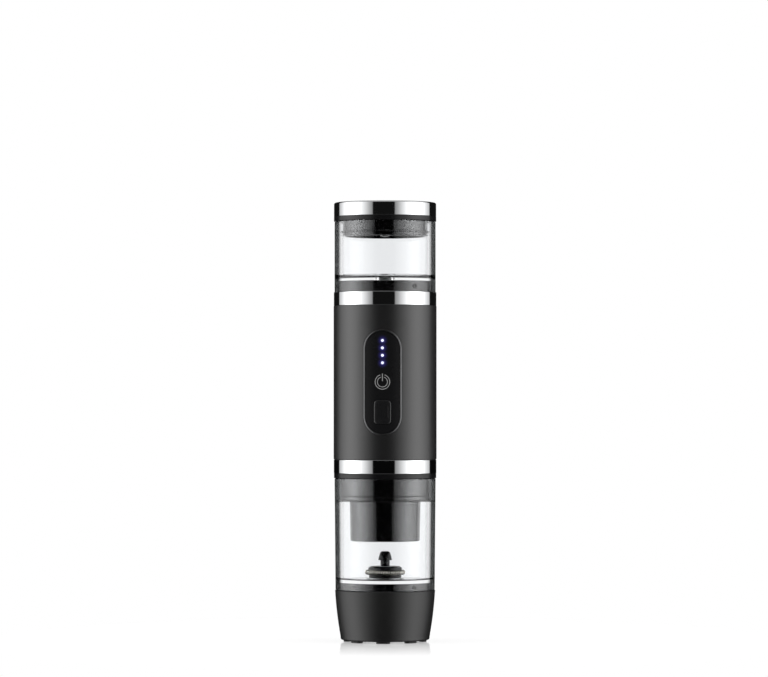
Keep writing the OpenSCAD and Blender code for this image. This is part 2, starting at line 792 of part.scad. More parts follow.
module band(z) {
    rotate_extrude() difference() {
        translate([band_r - band_wall, z]) square([band_wall, band_h]);
        for (s = [-1, 1]) edge_off(band_r, z + band_h / 2 + s * band_h / 2, fine_edge, 1, s);
    }
}

module upper_band() {
    color("#d8d8da") band(upper_band_z);
}

module lower_band() {
    color("#d8d8da") band(lower_band_z);
}

module body_shell() {
    color("#242424") difference() {
        rotate_extrude() difference() {
            translate([body_in_r, body_z]) square([body_wall, body_h]);
            translate([body_r - reveal, body_z - cut]) square([reveal + cut, reveal + cut]);
            edge_off(body_r, upper_band_z, fine_edge, 1, 1);
        }
        translate([0, 0, panel_z]) {
            along_y(-body_r - cut, 0) stadium(panel_w + 2 * fit_gap, panel_h + 2 * fit_gap);
            difference() {
                along_y(-body_r - cut, -body_in_r / 2)
                    stadium(panel_w + 2 * panel_border, panel_h + 2 * panel_border);
                disc(panel_r, -panel_h, panel_h);
            }
        }
        socket_slot(0, body_r + cut, charge_z);
    }
}

module lower_collar() {
    in_r = head_r - head_shoulder;
    color("#151515") rotate_extrude() difference() {
        union() {
            translate([in_r, lower_collar_z]) square([lower_collar_r - in_r, lower_collar_h]);
            translate([in_r, lower_collar_z])
                square([core_r - in_r, body_z - lower_collar_z]);
        }
        translate([mouth_r, lower_collar_z - cut])
            square([cup_r - gasket_rim - mouth_r, cup_gasket_h + cut]);
        edge_off(lower_collar_r, lower_collar_z, fine_edge, 1, -1);
    }
}

module cup_gasket() {
    color("#3a3a3a") ring(cup_r - gasket_rim - fit_gap, mouth_r + fit_gap, lower_collar_z,
        lower_collar_z + cup_gasket_h);
}

module brew_head() {
    wall = 2.4;
    slot_half = lug_angle / 2 + lug_room;
    color("#141414") difference() {
        union() {
            rotate_extrude() {
                difference() {
                    translate([0, head_z]) square([head_r, head_h]);
                    edge_off(head_r, head_z, head_edge, 1, -1);
                    translate([0, head_pocket_z]) square([neck_r - wall, head_h]);
                }
                translate([neck_r - wall, lower_collar_z - overlap])
                    square([wall, body_z - lower_collar_z + overlap]);
            }
            disc(tube_r + boss_wall, head_pocket_z - overlap, body_z);
            around(deck_screw_angles, deck_screw_orbit)
                disc(screw_d / 2 + boss_wall, head_pocket_z - overlap, body_z);
        }
        disc(head_bore_r, head_z - cut, head_ceiling_z);
        disc(channel_r, lug_z - run_gap, lug_z + lug_h + run_gap);
        for (a = lug_angles) rotate(a - holder_turn - slot_half)
            rotate_extrude(angle = 2 * slot_half)
                translate([head_bore_r - cut, head_z - cut])
                    square([slot_r - head_bore_r + cut, lug_z - head_z + cut + overlap]);
        disc(tube_r + fit_gap, head_pocket_z, body_z + cut);
        disc(tube_bore_r, head_ceiling_z - cut, body_z);
        around(deck_screw_angles, deck_screw_orbit)
            disc(screw_d / 2 + fit_gap, head_pocket_z, body_z + cut);
    }
}

module head_gasket() {
    color("#9a5a4a") ring(head_bore_r - fit_gap, gasket_in_r, head_ceiling_z - gasket_h, head_ceiling_z);
}

module piercing_needle() {
    r = needle_d / 2;
    plate_z = head_ceiling_z - needle_plate_t;
    tip_z = plate_z - needle_h + needle_tip;
    color("#c4c6c8") difference() {
        union() {
            disc(needle_plate_r, plate_z, head_ceiling_z);
            disc(r, tip_z, plate_z + overlap);
            translate([0, 0, tip_z - needle_tip]) cylinder(r1 = needle_point, r2 = r, h = needle_tip);
        }
        disc(r / 2, tip_z - needle_point, head_ceiling_z + cut);
        translate([0, 0, tip_z]) along_y(-r - cut, r + cut) circle(r = r / 3);
    }
}

module deck_screws() {
    color("#b9bbbd") around(deck_screw_angles, deck_screw_orbit) translate([0, 0, deck_z1])
        screw(screw_d, screw_head_d, screw_head_h, deck_screw_l);
}

// A plate inside the core that leaves the front free for the control board.
module core_plate(z0, z1) {
    difference() {
        disc(core_r, z0, z1);
        translate([-core_r, -2 * core_r, z0 - cut])
            cube([2 * core_r, 2 * core_r + front_cut_y, z1 - z0 + 2 * cut]);
    }
}

// Room for the inlet tube, from the middle out to where it runs down.
module tube_slot(z0, z1) {
    room = tube_r + tube_room;
    rotate(tube_angle) {
        disc(room, z0, z1);
        translate([0, -room, z0]) cube([tube_orbit, 2 * room, z1 - z0]);
        translate([tube_orbit, 0, 0]) disc(room, z0, z1);
    }
}

module chassis() {
    color("#3c3c3e") difference() {
        union() {
            disc(core_r, body_z, deck_z1);
            core_plate(tray_z, tray_z1);
            around(pillar_angles, pillar_orbit) disc(pillar_d / 2, deck_z1 - overlap, upper_deck_z);
        }
        around(cell_angles, cell_orbit) disc(cell_r + fit_gap, cell_z, cell_z1);
        disc(pump_r + 2 * run_gap, tray_z - cut, tray_z1 + cut);
        tube_slot(tray_z - cut, tray_z1 + cut);
        disc(tube_r + fit_gap, body_z - cut, deck_z1 + cut);
        around(deck_screw_angles, deck_screw_orbit)
            disc(screw_d / 2 + screw_room, body_z - cut, deck_z1 + cut);
    }
}

module battery_cells() {
    nub_r = 2.8;
    nub_h = 0.8;
    color("#2f6f9f") around(cell_angles, cell_orbit) {
        disc(cell_r, cell_z, cell_z1 - nub_h);
        disc(nub_r, cell_z1 - nub_h - overlap, cell_z1);
    }
}

module battery_cap() {
    z1 = cap_z + deck_t;
    color("#3c3c3e") difference() {
        core_plate(cap_z, z1);
        around(cell_angles, cell_orbit) disc(cell_r + fit_gap, cap_z - cut, cell_z1);
        around(pillar_angles, pillar_orbit) disc(pillar_d / 2 + fit_gap, cap_z - cut, z1 + cut);
        tube_slot(cap_z - cut, z1 + cut);
    }
}

module upper_deck() {
    color("#3c3c3e") difference() {
        disc(core_r, upper_deck_z, upper_deck_z1);
        disc(tube_r + tube_room, upper_deck_z - cut, upper_deck_z1 + cut);
    }
}

module pump_head() {
    stub_h = tube_d + 2;
    color("#4a4d52") difference() {
        union() {
            disc(pump_r, deck_z1, pump_motor_z);
            disc(tube_r, spout_z, deck_z1 + overlap);
            rotate(tube_angle) {
                translate([0, -tube_r, inlet_z - stub_h / 2]) cube([tube_orbit, tube_d, stub_h]);
                translate([tube_orbit, 0, 0]) disc(tube_r, inlet_z - stub_h / 2, inlet_z + stub_h);
            }
        }
        disc(tube_bore_r, spout_z - cut, deck_z1 + overlap);
        rotate(tube_angle) translate([tube_orbit, 0, 0])
            disc(tube_bore_r, inlet_z, inlet_z + stub_h + cut);
    }
}

module pump_motor() {
    end_r = 4.5;
    end_h = 1.8;
    tab = [1, 3, 4];
    tab_in = 3;
    color("#9fa2a6") {
        disc(pump_motor_r, pump_motor_z, pump_motor_z1);
        disc(end_r, pump_motor_z1 - overlap, pump_motor_z1 + end_h);
        for (s = [-1, 1])
            translate([s * (pump_motor_r - tab_in) - tab[0] / 2, -tab[1] / 2, pump_motor_z1 - overlap])
                cube(tab);
    }
}

// The tube leaves the port straight down, swings out in one S and runs down to the pump's inlet.
tube_rings = 30;
tube_end_z = inlet_z + tube_d + 2;
swing_z0 = upper_deck_z1;
swing_z1 = pump_motor_z1 + 4;
tube_pts = [for (i = [0 : tube_rings])
    let (z = tube_top_z + (tube_end_z - tube_top_z) * i / tube_rings,
        out = tube_orbit * smooth(clamp01((swing_z0 - z) / (swing_z0 - swing_z1))))
    [out * cos(tube_angle), out * sin(tube_angle), z]];

module inlet_tube() {
    side = [sin(tube_angle), -cos(tube_angle), 0];
    color("#d5dadd") sweep(tube_pts, [for (p = tube_pts) side], tube_r, 8);
}

// Control panel and board

module control_panel() {
    posts = [for (x = [-1, 1], z = [-1, 1]) [x * post_x, z * post_rise]];
    color("#0b0b0c") translate([0, 0, panel_z]) difference() {
        union() {
            intersection() {
                ring(panel_r, panel_in_r, -panel_h, panel_h);
                along_y(-body_r, -panel_in_r / 2) stadium(panel_w, panel_h);
            }
            intersection() {
                ring(body_in_r - run_gap, panel_in_r, -panel_h, panel_h);
                along_y(-body_r, -panel_in_r / 2)
                    stadium(panel_w + 2 * panel_flange, panel_h + 2 * panel_flange);
            }
            intersection() {
                for (p = posts) translate([p[0], 0, p[1]]) along_y(-body_r, board_y) circle(r = post_r);
                disc(panel_in_r + overlap, -panel_h, panel_h);
            }
        }
        translate([0, 0, -button_drop]) along_y(-body_r - cut, board_y)
            round_rect(button_w + 2 * run_gap, button_h + 2 * run_gap, button_corner + run_gap);
        for (i = [0 : led_count - 1]) translate([0, 0, led_top - i * led_pitch])
            along_y(-body_r - cut, board_y) circle(d = led_d + 2 * fit_gap);
        for (p = posts) translate([p[0], 0, p[1]]) along_y(board_y - post_hole, board_y + cut)
            circle(d = small_screw_d + 2 * fit_gap);
    }
}

module led_light_pipes() {
    run = (led_count - 1) * led_pitch;
    color("#cfe0ff") translate([0, 0, panel_z]) {
        intersection() {
            for (i = [0 : led_count - 1]) translate([0, 0, led_top - i * led_pitch])
                along_y(-body_r, board_y - led_block[1] - seat_gap) circle(d = led_d);
            disc(panel_r, -panel_h, panel_h);
        }
        translate([-led_d / 2, pipe_bar_y - pipe_bar, led_top - run]) cube([led_d, pipe_bar, run]);
    }
}

module indicator_leds() {
    color("#f4f4e8") for (i = [0 : led_count - 1])
        translate([0, board_y - led_block[1] / 2, panel_z + led_top - i * led_pitch])
            cube(led_block, center = true);
}

module control_board() {
    color("#1f5a36") difference() {
        translate([-board_w / 2, board_y, panel_z - board_h / 2]) cube([board_w, board_t, board_h]);
        for (x = [-1, 1], z = [-1, 1]) translate([x * post_x, 0, panel_z + z * post_rise])
            along_y(board_y - cut, board_y + board_t + cut) circle(d = small_screw_d + 2 * screw_room);
    }
}

module button_switch() {
    color("#707276") push_switch(board_y, button_z, -1);
}

module board_screws() {
    color("#b9bbbd") for (x = [-1, 1], z = [-1, 1])
        translate([x * post_x, board_y + board_t, panel_z + z * post_rise]) rotate([-90, 0, 0])
            screw(small_screw_d, small_head_d, small_head_h, board_t + post_hole - cut);
}

module charging_board() {
    color("#1f5a36") translate([-charge_board[0] / 2, charge_board_y, deck_z1])
        cube([charge_board[0], charge_board[1], board_t]);
}

module charging_socket() {
    color("#a9abad") socket(charge_socket_y, body_r - socket_set_back, charge_z);
}

module power_button() {
    stem_y = board_y - switch_t - plunger_h - button_travel - seat_gap;
    stem_r = plunger_r + 0.8;
    in_r = panel_in_r - run_gap;
    back_y = 3 - in_r;
    color("#121213") translate([0, 0, button_z]) intersection() {
        union() {
            along_y(-body_r, back_y) round_rect(button_w, button_h, button_corner);
            intersection() {
                along_y(-body_r, back_y)
                    round_rect(button_w + 2 * button_flange, button_h + 2 * button_flange,
                        button_corner + button_flange);
                disc(in_r, -button_h, button_h);
            }
            along_y(-in_r, stem_y) circle(r = stem_r);
        }
        disc(panel_r + button_proud, -button_h, button_h);
    }
}

// Capsule holder, cup and whisk

module capsule_holder() {
    foot_r = holder_r - holder_taper / 2;
    in_r = holder_r - holder_wall;
    deck_z = holder_z + holder_hollow;
    well_z = deck_z + holder_floor;
    nozzle_r = 5;
    hole_r = 0.8;
    color("#161616") difference() {
        union() {
            rotate_extrude() difference() {
                polygon([[0, holder_z], [foot_r, holder_z], [holder_r, head_z], [holder_r, holder_rim_z],
                    [0, holder_rim_z]]);
                polygon([[0, well_z], [in_r - holder_taper / 2, well_z], [in_r, holder_rim_z + cut],
                    [0, holder_rim_z + cut]]);
                translate([nozzle_r, holder_z - cut])
                    square([foot_r - holder_wall - nozzle_r, holder_hollow + cut]);
                edge_off(foot_r, holder_z, holder_edge, 1, -1);
            }
            for (a = lug_angles) rotate(a - lug_angle / 2) rotate_extrude(angle = lug_angle)
                translate([holder_r - overlap, lug_z]) square([lug_proud + overlap, lug_h]);
        }
        around([for (i = [0 : 5]) 60 * i], nozzle_r / 2) disc(hole_r, holder_z - cut, well_z + cut, $fn = edge_fn);
    }
}

module cup() {
    color("#dfe6ea", 0.35) difference() {
        rotate_extrude() vessel_profile(cup_r, cup_foot_r, cup_in_r, collar_r + run_gap,
            skirt_z, cup_under_z, cup_floor_z, cup_rim_z, cup_mouth_depth);
        lock_runs(collar_r + run_gap, cup_pin_z, skirt_z);
    }
}

module whisk_spindle() {
    color("#c4c6c8") rotate_extrude() {
        translate([0, cup_floor_z]) square([seat_d / 2, seat_t]);
        difference() {
            translate([0, cup_floor_z]) square([spindle_d / 2, spindle_z1 - cup_floor_z]);
            edge_off(spindle_d / 2, spindle_z1, soft_edge, 1, 1);
        }
    }
}

module whisk_hub() {
    stem_r = stem_d / 2;
    barb_r = barb_d / 2;
    cone_z1 = upper_disc_z + cone_h;
    color("#171717") difference() {
        union() {
            rotate_extrude() {
                translate([0, hub_z]) square([lower_disc_r, lower_disc_z1 - hub_z]);
                translate([0, hub_z]) square([groove_r, upper_disc_z - hub_z + overlap]);
                polygon([[0, upper_disc_z], [upper_disc_r, upper_disc_z],
                    [upper_disc_r, upper_disc_z + disc_edge], [stem_r, cone_z1], [0, cone_z1]]);
                translate([0, hub_z]) square([stem_r, barb_z - hub_z + overlap]);
                polygon([[0, barb_z], [barb_r, barb_z], [barb_r, barb_z + barb_edge],
                    [tip_r, tip_flat_z], [0, tip_flat_z]]);
                translate([0, whisk_z1 - tip_r]) intersection() {
                    circle(r = tip_r, $fn = edge_fn);
                    square([tip_r, tip_r]);
                }
            }
            rotate(keeper_angle - keeper_half) rotate_extrude(angle = 2 * keeper_half)
                translate([groove_r - overlap, lower_disc_z1 - overlap])
                    square([keeper_r - groove_r + overlap, upper_disc_z - lower_disc_z1 + 2 * overlap]);
        }
        disc(spindle_d / 2 + bearing_gap, hub_z - cut, spindle_z1 + bearing_gap);
        around(magnet_angles, magnet_orbit)
            disc(magnet_d / 2 + fit_gap, hub_z - cut, hub_z + magnet_h, $fn = edge_fn);
    }
}

// The spring ring is one wire: curls about a circle, eased in and out so that both ends leave
// the keeper straight and square.
curl_steps = 8;
spring_steps = curls * curl_steps;
ease = 0.03;
lead = wire_d / (2 * PI * ring_r);
function eased(v) = v < ease ? v * v / (2 * ease)
    : v > 1 - ease ? 1 - ease - (1 - v) * (1 - v) / (2 * ease)
    : v - ease / 2;
function spring_phi(u) = keeper_angle + keeper_half + u * (360 - 2 * keeper_half);
function spring_psi(u) = 360 * curls * eased(clamp01((u - lead) / (1 - 2 * lead))) / (1 - ease);
function spring_dir(u) = let (f = spring_phi(u), s = spring_psi(u))
    [cos(s) * cos(f), cos(s) * sin(f), sin(s)];
function spring_pt(u) = let (f = spring_phi(u))
    [ring_r * cos(f), ring_r * sin(f), ring_z] + curl_r * spring_dir(u);
spring_pts = [for (i = [0 : spring_steps]) spring_pt(i / spring_steps)];
spring_self_gap = -wire_d + min([for (i = [0 : spring_steps],
    j = [i + curl_steps - 2 : min(spring_steps, i + 3 * curl_steps)]) norm(spring_pts[i] - spring_pts[j])]);
echo(spring_self_gap = spring_self_gap);

module whisk_spring() {
    normals = [for (i = [0 : spring_steps]) spring_dir(i / spring_steps)];
    color("#b7bbb8") sweep(spring_pts, normals, wire_r, 6);
}

module whisk_magnets() {
    color("#8a8c90") around(magnet_angles, magnet_orbit)
        disc(magnet_d / 2, hub_z, hub_z + magnet_h);
}

// Base

module base_profile() {
    intersection() {
        translate([0, base_z + base_edge]) square([base_r + cut, base_h - base_edge]);
        translate(base_arc_c) circle(r = base_curve, $fn = 720);
    }
    translate([base_edge_r - base_edge, base_z + base_edge]) circle(r = base_edge);
    translate([0, base_z]) square([base_edge_r - base_edge, base_edge + overlap]);
}

module base_housing() {
    neck_z = shoulder_z - spigot_h;
    color("#232323") difference() {
        rotate_extrude() difference() {
            base_profile();
            polygon([[0, base_z - cut], [plate_r, base_z - cut], [plate_r, plate_z1],
                [base_in_r, plate_z1], [spigot_r + fit_gap, neck_z],
                [spigot_r + fit_gap, shoulder_z + cut], [0, shoulder_z + cut]]);
        }
        translate([0, 0, whisk_button_h]) along_y(0, base_r + cut) circle(r = whisk_button_r + run_gap);
        socket_slot(0, base_r + cut, back_socket_z);
    }
}

module base_collar() {
    color("#151515") difference() {
        union() {
            ring(collar_r, spigot_r - spigot_wall, shoulder_z, collar_z1);
            disc(collar_r - overlap, collar_deck_z, collar_z1);
            ring(spigot_r, spigot_r - spigot_wall, shoulder_z - spigot_h + fit_gap, shoulder_z + overlap);
            around(boss_angles, boss_orbit) disc(boss_r, plate_z1, collar_deck_z + overlap);
            around(bracket_angles, bracket_post_orbit)
                disc(bracket_post_r, bracket_z1, collar_deck_z + overlap);
            lock_pins(collar_r, cup_pin_z);
        }
        around(boss_angles, boss_orbit)
            disc(screw_d / 2 + fit_gap, plate_z1 - cut, plate_z1 + boss_hole);
        around(bracket_angles, bracket_post_orbit)
            disc(small_screw_d / 2 + fit_gap, bracket_z1 - cut, collar_deck_z - overlap);
    }
}

module base_plate() {
    slot_y = back_board_y - board_t - fit_gap;
    slot_w = board_t + 2 * fit_gap;
    color("#1b1b1b") difference() {
        union() {
            disc(plate_r - fit_gap, base_z, plate_z1);
            for (s = [-1, 1])
                translate([s * (back_board_w / 2 - rail_in) - rail_w / 2, slot_y - slot_rail,
                    plate_z1 - overlap]) cube([rail_w, slot_w + 2 * slot_rail, rail_h + overlap]);
        }
        translate([-back_board_w / 2 - cut, slot_y, plate_z1])
            cube([back_board_w + 2 * cut, slot_w, rail_h + cut]);
        around(foot_angles, foot_orbit) translate([0, 0, base_z - cut])
            linear_extrude(foot_sunk + cut) stadium(foot_w + 2 * fit_gap, foot_l + 2 * fit_gap);
        around(boss_angles, boss_orbit) {
            disc(screw_d / 2 + screw_room, base_z - cut, plate_z1 + cut);
            disc(screw_head_d / 2 + screw_room, base_z - cut, base_z + screw_head_h);
        }
    }
}

module base_feet() {
    color("#0e0e0e") around(foot_angles, foot_orbit)
        linear_extrude(base_z + foot_sunk) stadium(foot_w, foot_l);
}

module base_screws() {
    color("#b9bbbd") around(boss_angles, boss_orbit) translate([0, 0, base_z + screw_head_h])
        rotate([180, 0, 0]) screw(screw_d, screw_head_d, screw_head_h - screw_dip, base_screw_l);
}

module motor_bracket() {
    color("#8f9296") difference() {
        disc(bracket_r, bracket_z, bracket_z1);
        disc(bearing_r + fit_gap, bracket_z - cut, bracket_z1 + cut);
        around(bracket_angles, bracket_post_orbit)
            disc(small_screw_d / 2 + screw_room, bracket_z - cut, bracket_z1 + cut);
    }
}

module bracket_screws() {
    color("#b9bbbd") around(bracket_angles, bracket_post_orbit) translate([0, 0, bracket_z])
        rotate([180, 0, 0])
            screw(small_screw_d, small_head_d, small_head_h, bracket_t + carrier_h - overlap);
}

module frother_motor() {
    color("#9fa2a6") difference() {
        union() {
            disc(motor_d / 2, motor_z, bracket_z);
            disc(bearing_r, bracket_z - overlap, bracket_z + bearing_h);
        }
        disc(shaft_d / 2 + bearing_gap, motor_z + shaft_end, bracket_z + bearing_h + cut);
    }
}

module frother_battery() {
    color("#b8bcc0") translate([0, pouch_y, plate_z1]) linear_extrude(pouch_h)
        round_rect(pouch_w, pouch_l, pouch_corner);
}

module frother_board() {
    color("#1f5a36") translate([-back_board_w / 2, back_board_y - board_t, plate_z1])
        cube([back_board_w, board_t, back_board_h]);
}

module frother_switch() {
    color("#707276") push_switch(back_board_y, whisk_button_h, 1);
}

module frother_socket() {
    color("#a9abad") socket(back_board_y, arc_x(back_socket_z) - socket_set_back, back_socket_z);
}

module frother_button() {
    flange_y = whisk_flange_y - whisk_flange_t;
    length = arc_x(whisk_button_h) + whisk_button_proud - flange_y;
    color("#2c2c2c") translate([0, flange_y, whisk_button_h]) rotate([-90, 0, 0])
        rotate_extrude() difference() {
            union() {
                square([whisk_flange_r, whisk_flange_t]);
                square([whisk_button_r, length]);
            }
            edge_off(whisk_button_r, length, soft_edge, 1, 1);
        }
}

// Whisk drive

module magnet_carrier() {
    color("#4a4d52") difference() {
        disc(carrier_d / 2, carrier_z, carrier_z1);
        disc(shaft_d / 2 + bearing_gap, carrier_z - cut, carrier_z1 + cut);
        around(magnet_angles, magnet_orbit)
            disc(magnet_d / 2 + fit_gap, carrier_z1 - drive_magnet_h, carrier_z1 + cut);
    }
}

module drive_magnets() {
    color("#8a8c90") around(magnet_angles, magnet_orbit)
        disc(magnet_d / 2, carrier_z1 - drive_magnet_h, carrier_z1);
}

module motor_shaft() {
    color("#c4c6c8") disc(shaft_d / 2, motor_z + shaft_end + run_gap, carrier_z1);
}

lid_cap();
lid_band();
lid_plug();
lid_seal();
vent_valve();
water_tank();
tank_filter();
tank_collar();
port_seal();
upper_band();
body_shell();
lower_band();
lower_collar();
cup_gasket();
brew_head();
head_gasket();
piercing_needle();
deck_screws();
chassis();
battery_cells();
battery_cap();
upper_deck();
pump_head();
pump_motor();
inlet_tube();
control_panel();
led_light_pipes();
indicator_leds();
control_board();
button_switch();
board_screws();
charging_board();
charging_socket();
power_button();
capsule_holder();
cup();
whisk_spindle();
whisk_hub();
whisk_spring();
whisk_magnets();
base_housing();
base_collar();
base_plate();
base_feet();
base_screws();
motor_bracket();
bracket_screws();
frother_motor();
frother_battery();
frother_board();
frother_switch();
frother_socket();
frother_button();
magnet_carrier();
drive_magnets();
motor_shaft();
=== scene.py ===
"""Looks of a portable coffee machine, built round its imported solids.

Metres, Z up, the control panel faces -Y. Most sizes below are the solids' own, in millimetres;
pieces are worked out in millimetres and scaled once, when their mesh is made.
"""
import math

import bmesh
import bpy
import numpy as np
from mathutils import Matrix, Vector


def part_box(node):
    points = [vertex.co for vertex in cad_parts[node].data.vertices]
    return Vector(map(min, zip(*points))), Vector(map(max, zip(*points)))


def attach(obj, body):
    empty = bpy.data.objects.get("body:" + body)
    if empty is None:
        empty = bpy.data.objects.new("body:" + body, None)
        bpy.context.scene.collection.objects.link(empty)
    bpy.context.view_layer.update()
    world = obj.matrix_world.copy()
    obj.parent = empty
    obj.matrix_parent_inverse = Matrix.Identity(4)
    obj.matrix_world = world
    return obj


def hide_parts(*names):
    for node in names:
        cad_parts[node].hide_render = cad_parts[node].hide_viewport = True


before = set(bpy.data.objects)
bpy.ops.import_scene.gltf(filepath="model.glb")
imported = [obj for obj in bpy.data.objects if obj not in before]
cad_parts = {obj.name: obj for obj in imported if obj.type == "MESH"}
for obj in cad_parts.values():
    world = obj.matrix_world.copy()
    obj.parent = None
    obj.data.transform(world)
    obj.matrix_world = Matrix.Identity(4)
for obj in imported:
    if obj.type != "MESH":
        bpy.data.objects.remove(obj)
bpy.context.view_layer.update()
scene = bpy.context.scene
scene.view_settings.view_transform = "Standard"

MM = 0.001

# Levels, from the table up
BASE_Z, PLATE_Z, SHOULDER_Z = 1.3, 3.8, 35.3
CUP_SKIRT_Z, BASE_COLLAR_Z, CUP_UNDER_Z, CUP_FLOOR_Z = 35.45, 40.1, 40.35, 42.35
CUP_LEDGE_Z, CUP_RIM_Z, LOWER_COLLAR_Z, LOWER_BAND_Z = 95.4, 110.75, 110.9, 114.3
BODY_Z, UPPER_BAND_Z, BAND_H = 123.5, 228.0, 9.2
TANK_SKIRT_Z, TANK_COLLAR_Z, TANK_UNDER_Z, TANK_FLOOR_Z = 237.35, 244.3, 244.55, 246.35
PLUG_Z, TANK_LEDGE_Z, SEAL_Z, TANK_RIM_Z = 274.9, 275.35, 278.0, 285.15
LID_Z, LID_BAND_Z, LID_TOP_Z, TOP_Z = 285.3, 288.6, 297.6, 298.1

# Radii
BODY_R, BODY_IN_R, CORE_R, BAND_R, BAND_IN_R = 35.0, 32.6, 32.4, 34.9, 32.5
LID_R, LID_CORE_R, LID_WALL, PLUG_R, PLUG_IN_R = 34.8, 32.3, 2.4, 28.9, 26.9
TANK_R, VESSEL_IN_R, MOUTH_R = 34.4, 29.4, 30.8
CUP_MOUTH_R, CUP_RIM_R, CUP_FOOT_R = 32.3, 34.4, 33.7
TANK_SKIRT_R, CUP_SKIRT_R, BASE_COLLAR_R = 32.65, 32.05, 31.8
LOWER_COLLAR_R, HEAD_R, NECK_R, HOLDER_R, HOLDER_FOOT_R = 34.75, 31.4, 29.0, 24.15, 23.6
BASE_R, BASE_EDGE_R, BASE_CURVE, BASE_EDGE = 34.0, 30.1, 265.0, 1.2

# Twist locks
PIN_ANGLES, LOCK_TURN, PIN_R, PIN_PROUD, RUN_GAP = (310, 70, 190), 25, 1.3, 0.8, 0.25
TANK_PIN_Z, CUP_PIN_Z = 240.75, 37.7

# Panel, buttons and sockets
PANEL_Z, PANEL_R, PANEL_BACK_R = 175.75, 34.5, 31.0
PANEL_CORE, PANEL_REACH = (0.0, 22.75), 11.75
KEY_Z, KEY_CORE, KEY_REACH, KEY_R = 155.75, (3.3, 5.55), 2.5, 34.6
LED_ZS, LED_R = (203.95, 198.95, 193.95, 188.95), 1.0
SLOT_CORE, SLOT_REACH, BODY_SLOT_Z, BASE_SLOT_Z = (3.0, 0.1), 1.75, 130.2, 10.0
WHISK_KEY_Z, WHISK_KEY_R = 21.8, 5.5

# Whisk
RING_R, RING_Z, CURL_R, WIRE_R, CURLS = 12.1, 47.15, 1.4, 0.275, 46
KEEPER_ANGLE, KEEPER_HALF, EASE = 90, 6, 0.03


def linear(hex_colour):
    """Linear RGBA of an sRGB hex colour: c / 12.92 up to 0.04045, else ((c + 0.055) / 1.055) ** 2.4."""
    c = np.array([int(hex_colour[i:i + 2], 16) for i in (1, 3, 5)]) / 255
    return (*np.where(c <= 0.04045, c / 12.92, ((c + 0.055) / 1.055) ** 2.4), 1.0)


# Shader nodes

def feed(tree, node, inputs):
    """Gives each input of a node its value, or a link from the socket that feeds it."""
    for key, value in inputs.items():
        if isinstance(value, bpy.types.NodeSocket):
            tree.links.new(value, node.inputs[key])
        else:
            node.inputs[key].default_value = value


def add(tree, kind, inputs=None, **settings):
    """Adds one shader node: settings are its properties, inputs its values or feeding sockets."""
    node = tree.nodes.new("ShaderNode" + kind)
    for key, value in settings.items():
        setattr(node, key, value)
    feed(tree, node, inputs or {})
    return node


def calc(tree, operation, *terms):
    """Result of one sum on numbers or sockets."""
    return add(tree, "Math", dict(enumerate(terms)), operation=operation).outputs[0]


def mapped(tree, value, start, stop, low=0.0, high=1.0, smooth=False):
    """A value taken from the range start to stop over to the range low to high, and held at its ends."""
    ends = {"From Min": start, "From Max": stop, "To Min": low, "To Max": high}
    kind = "SMOOTHSTEP" if smooth else "LINEAR"
    return add(tree, "MapRange", {"Value": value, **ends}, interpolation_type=kind).outputs["Result"]


def blended(tree, factor, first, second):
    """A colour between two hex colours."""
    ends = {"A": linear(first), "B": linear(second)}
    return add(tree, "Mix", {"Factor": factor, **ends}, data_type="RGBA").outputs["Result"]


def clouds(tree, place, size_mm, detail, **more):
    """Noise of one size, from 0 to 1."""
    inputs = {"Scale": 1 / (size_mm * MM), "Detail": detail, "Vector": place, **more}
    return add(tree, "TexNoise", inputs).outputs["Fac"]


def facing(tree):
    """0 where a surface faces the ray that meets it, 1 where it is met edge on."""
    return add(tree, "LayerWeight", {"Blend": 0.5}).outputs["Facing"]


# Camera: about as high as the power key, turned 3 degrees off the front

CAMERA_AWAY, CAMERA_TURN, CAMERA_HEIGHT = 2.55, math.radians(3), 0.164
AIM_HEIGHT, AIM_LEFT = 0.2058, 0.00075
camera = bpy.data.objects.new("camera", bpy.data.cameras.new("camera"))
scene.collection.objects.link(camera)
camera.data.lens, camera.data.sensor_width = 175.7, 36.0
camera.data.clip_start, camera.data.clip_end = 0.1, 20.0
camera.location = (CAMERA_AWAY * math.sin(CAMERA_TURN), -CAMERA_AWAY * math.cos(CAMERA_TURN), CAMERA_HEIGHT)
aim = Vector((-AIM_LEFT * math.cos(CAMERA_TURN), -AIM_LEFT * math.sin(CAMERA_TURN), AIM_HEIGHT))
camera.rotation_euler = (aim - camera.location).to_track_quat("-Z", "Y").to_euler()
scene.camera = camera


# Surfaces

def grid_faces(rows, cols, loop_rows=False, loop_cols=False):
    """Quads of a lattice of rows by cols points; either way may close on itself. Shape (rows, cols, 4)."""
    i, j = np.meshgrid(np.arange(rows if loop_rows else rows - 1),
                       np.arange(cols if loop_cols else cols - 1), indexing="ij")
    up, on = (i + 1) % rows, (j + 1) % cols
    return np.stack([i * cols + j, i * cols + on, up * cols + on, up * cols + j], axis=-1)


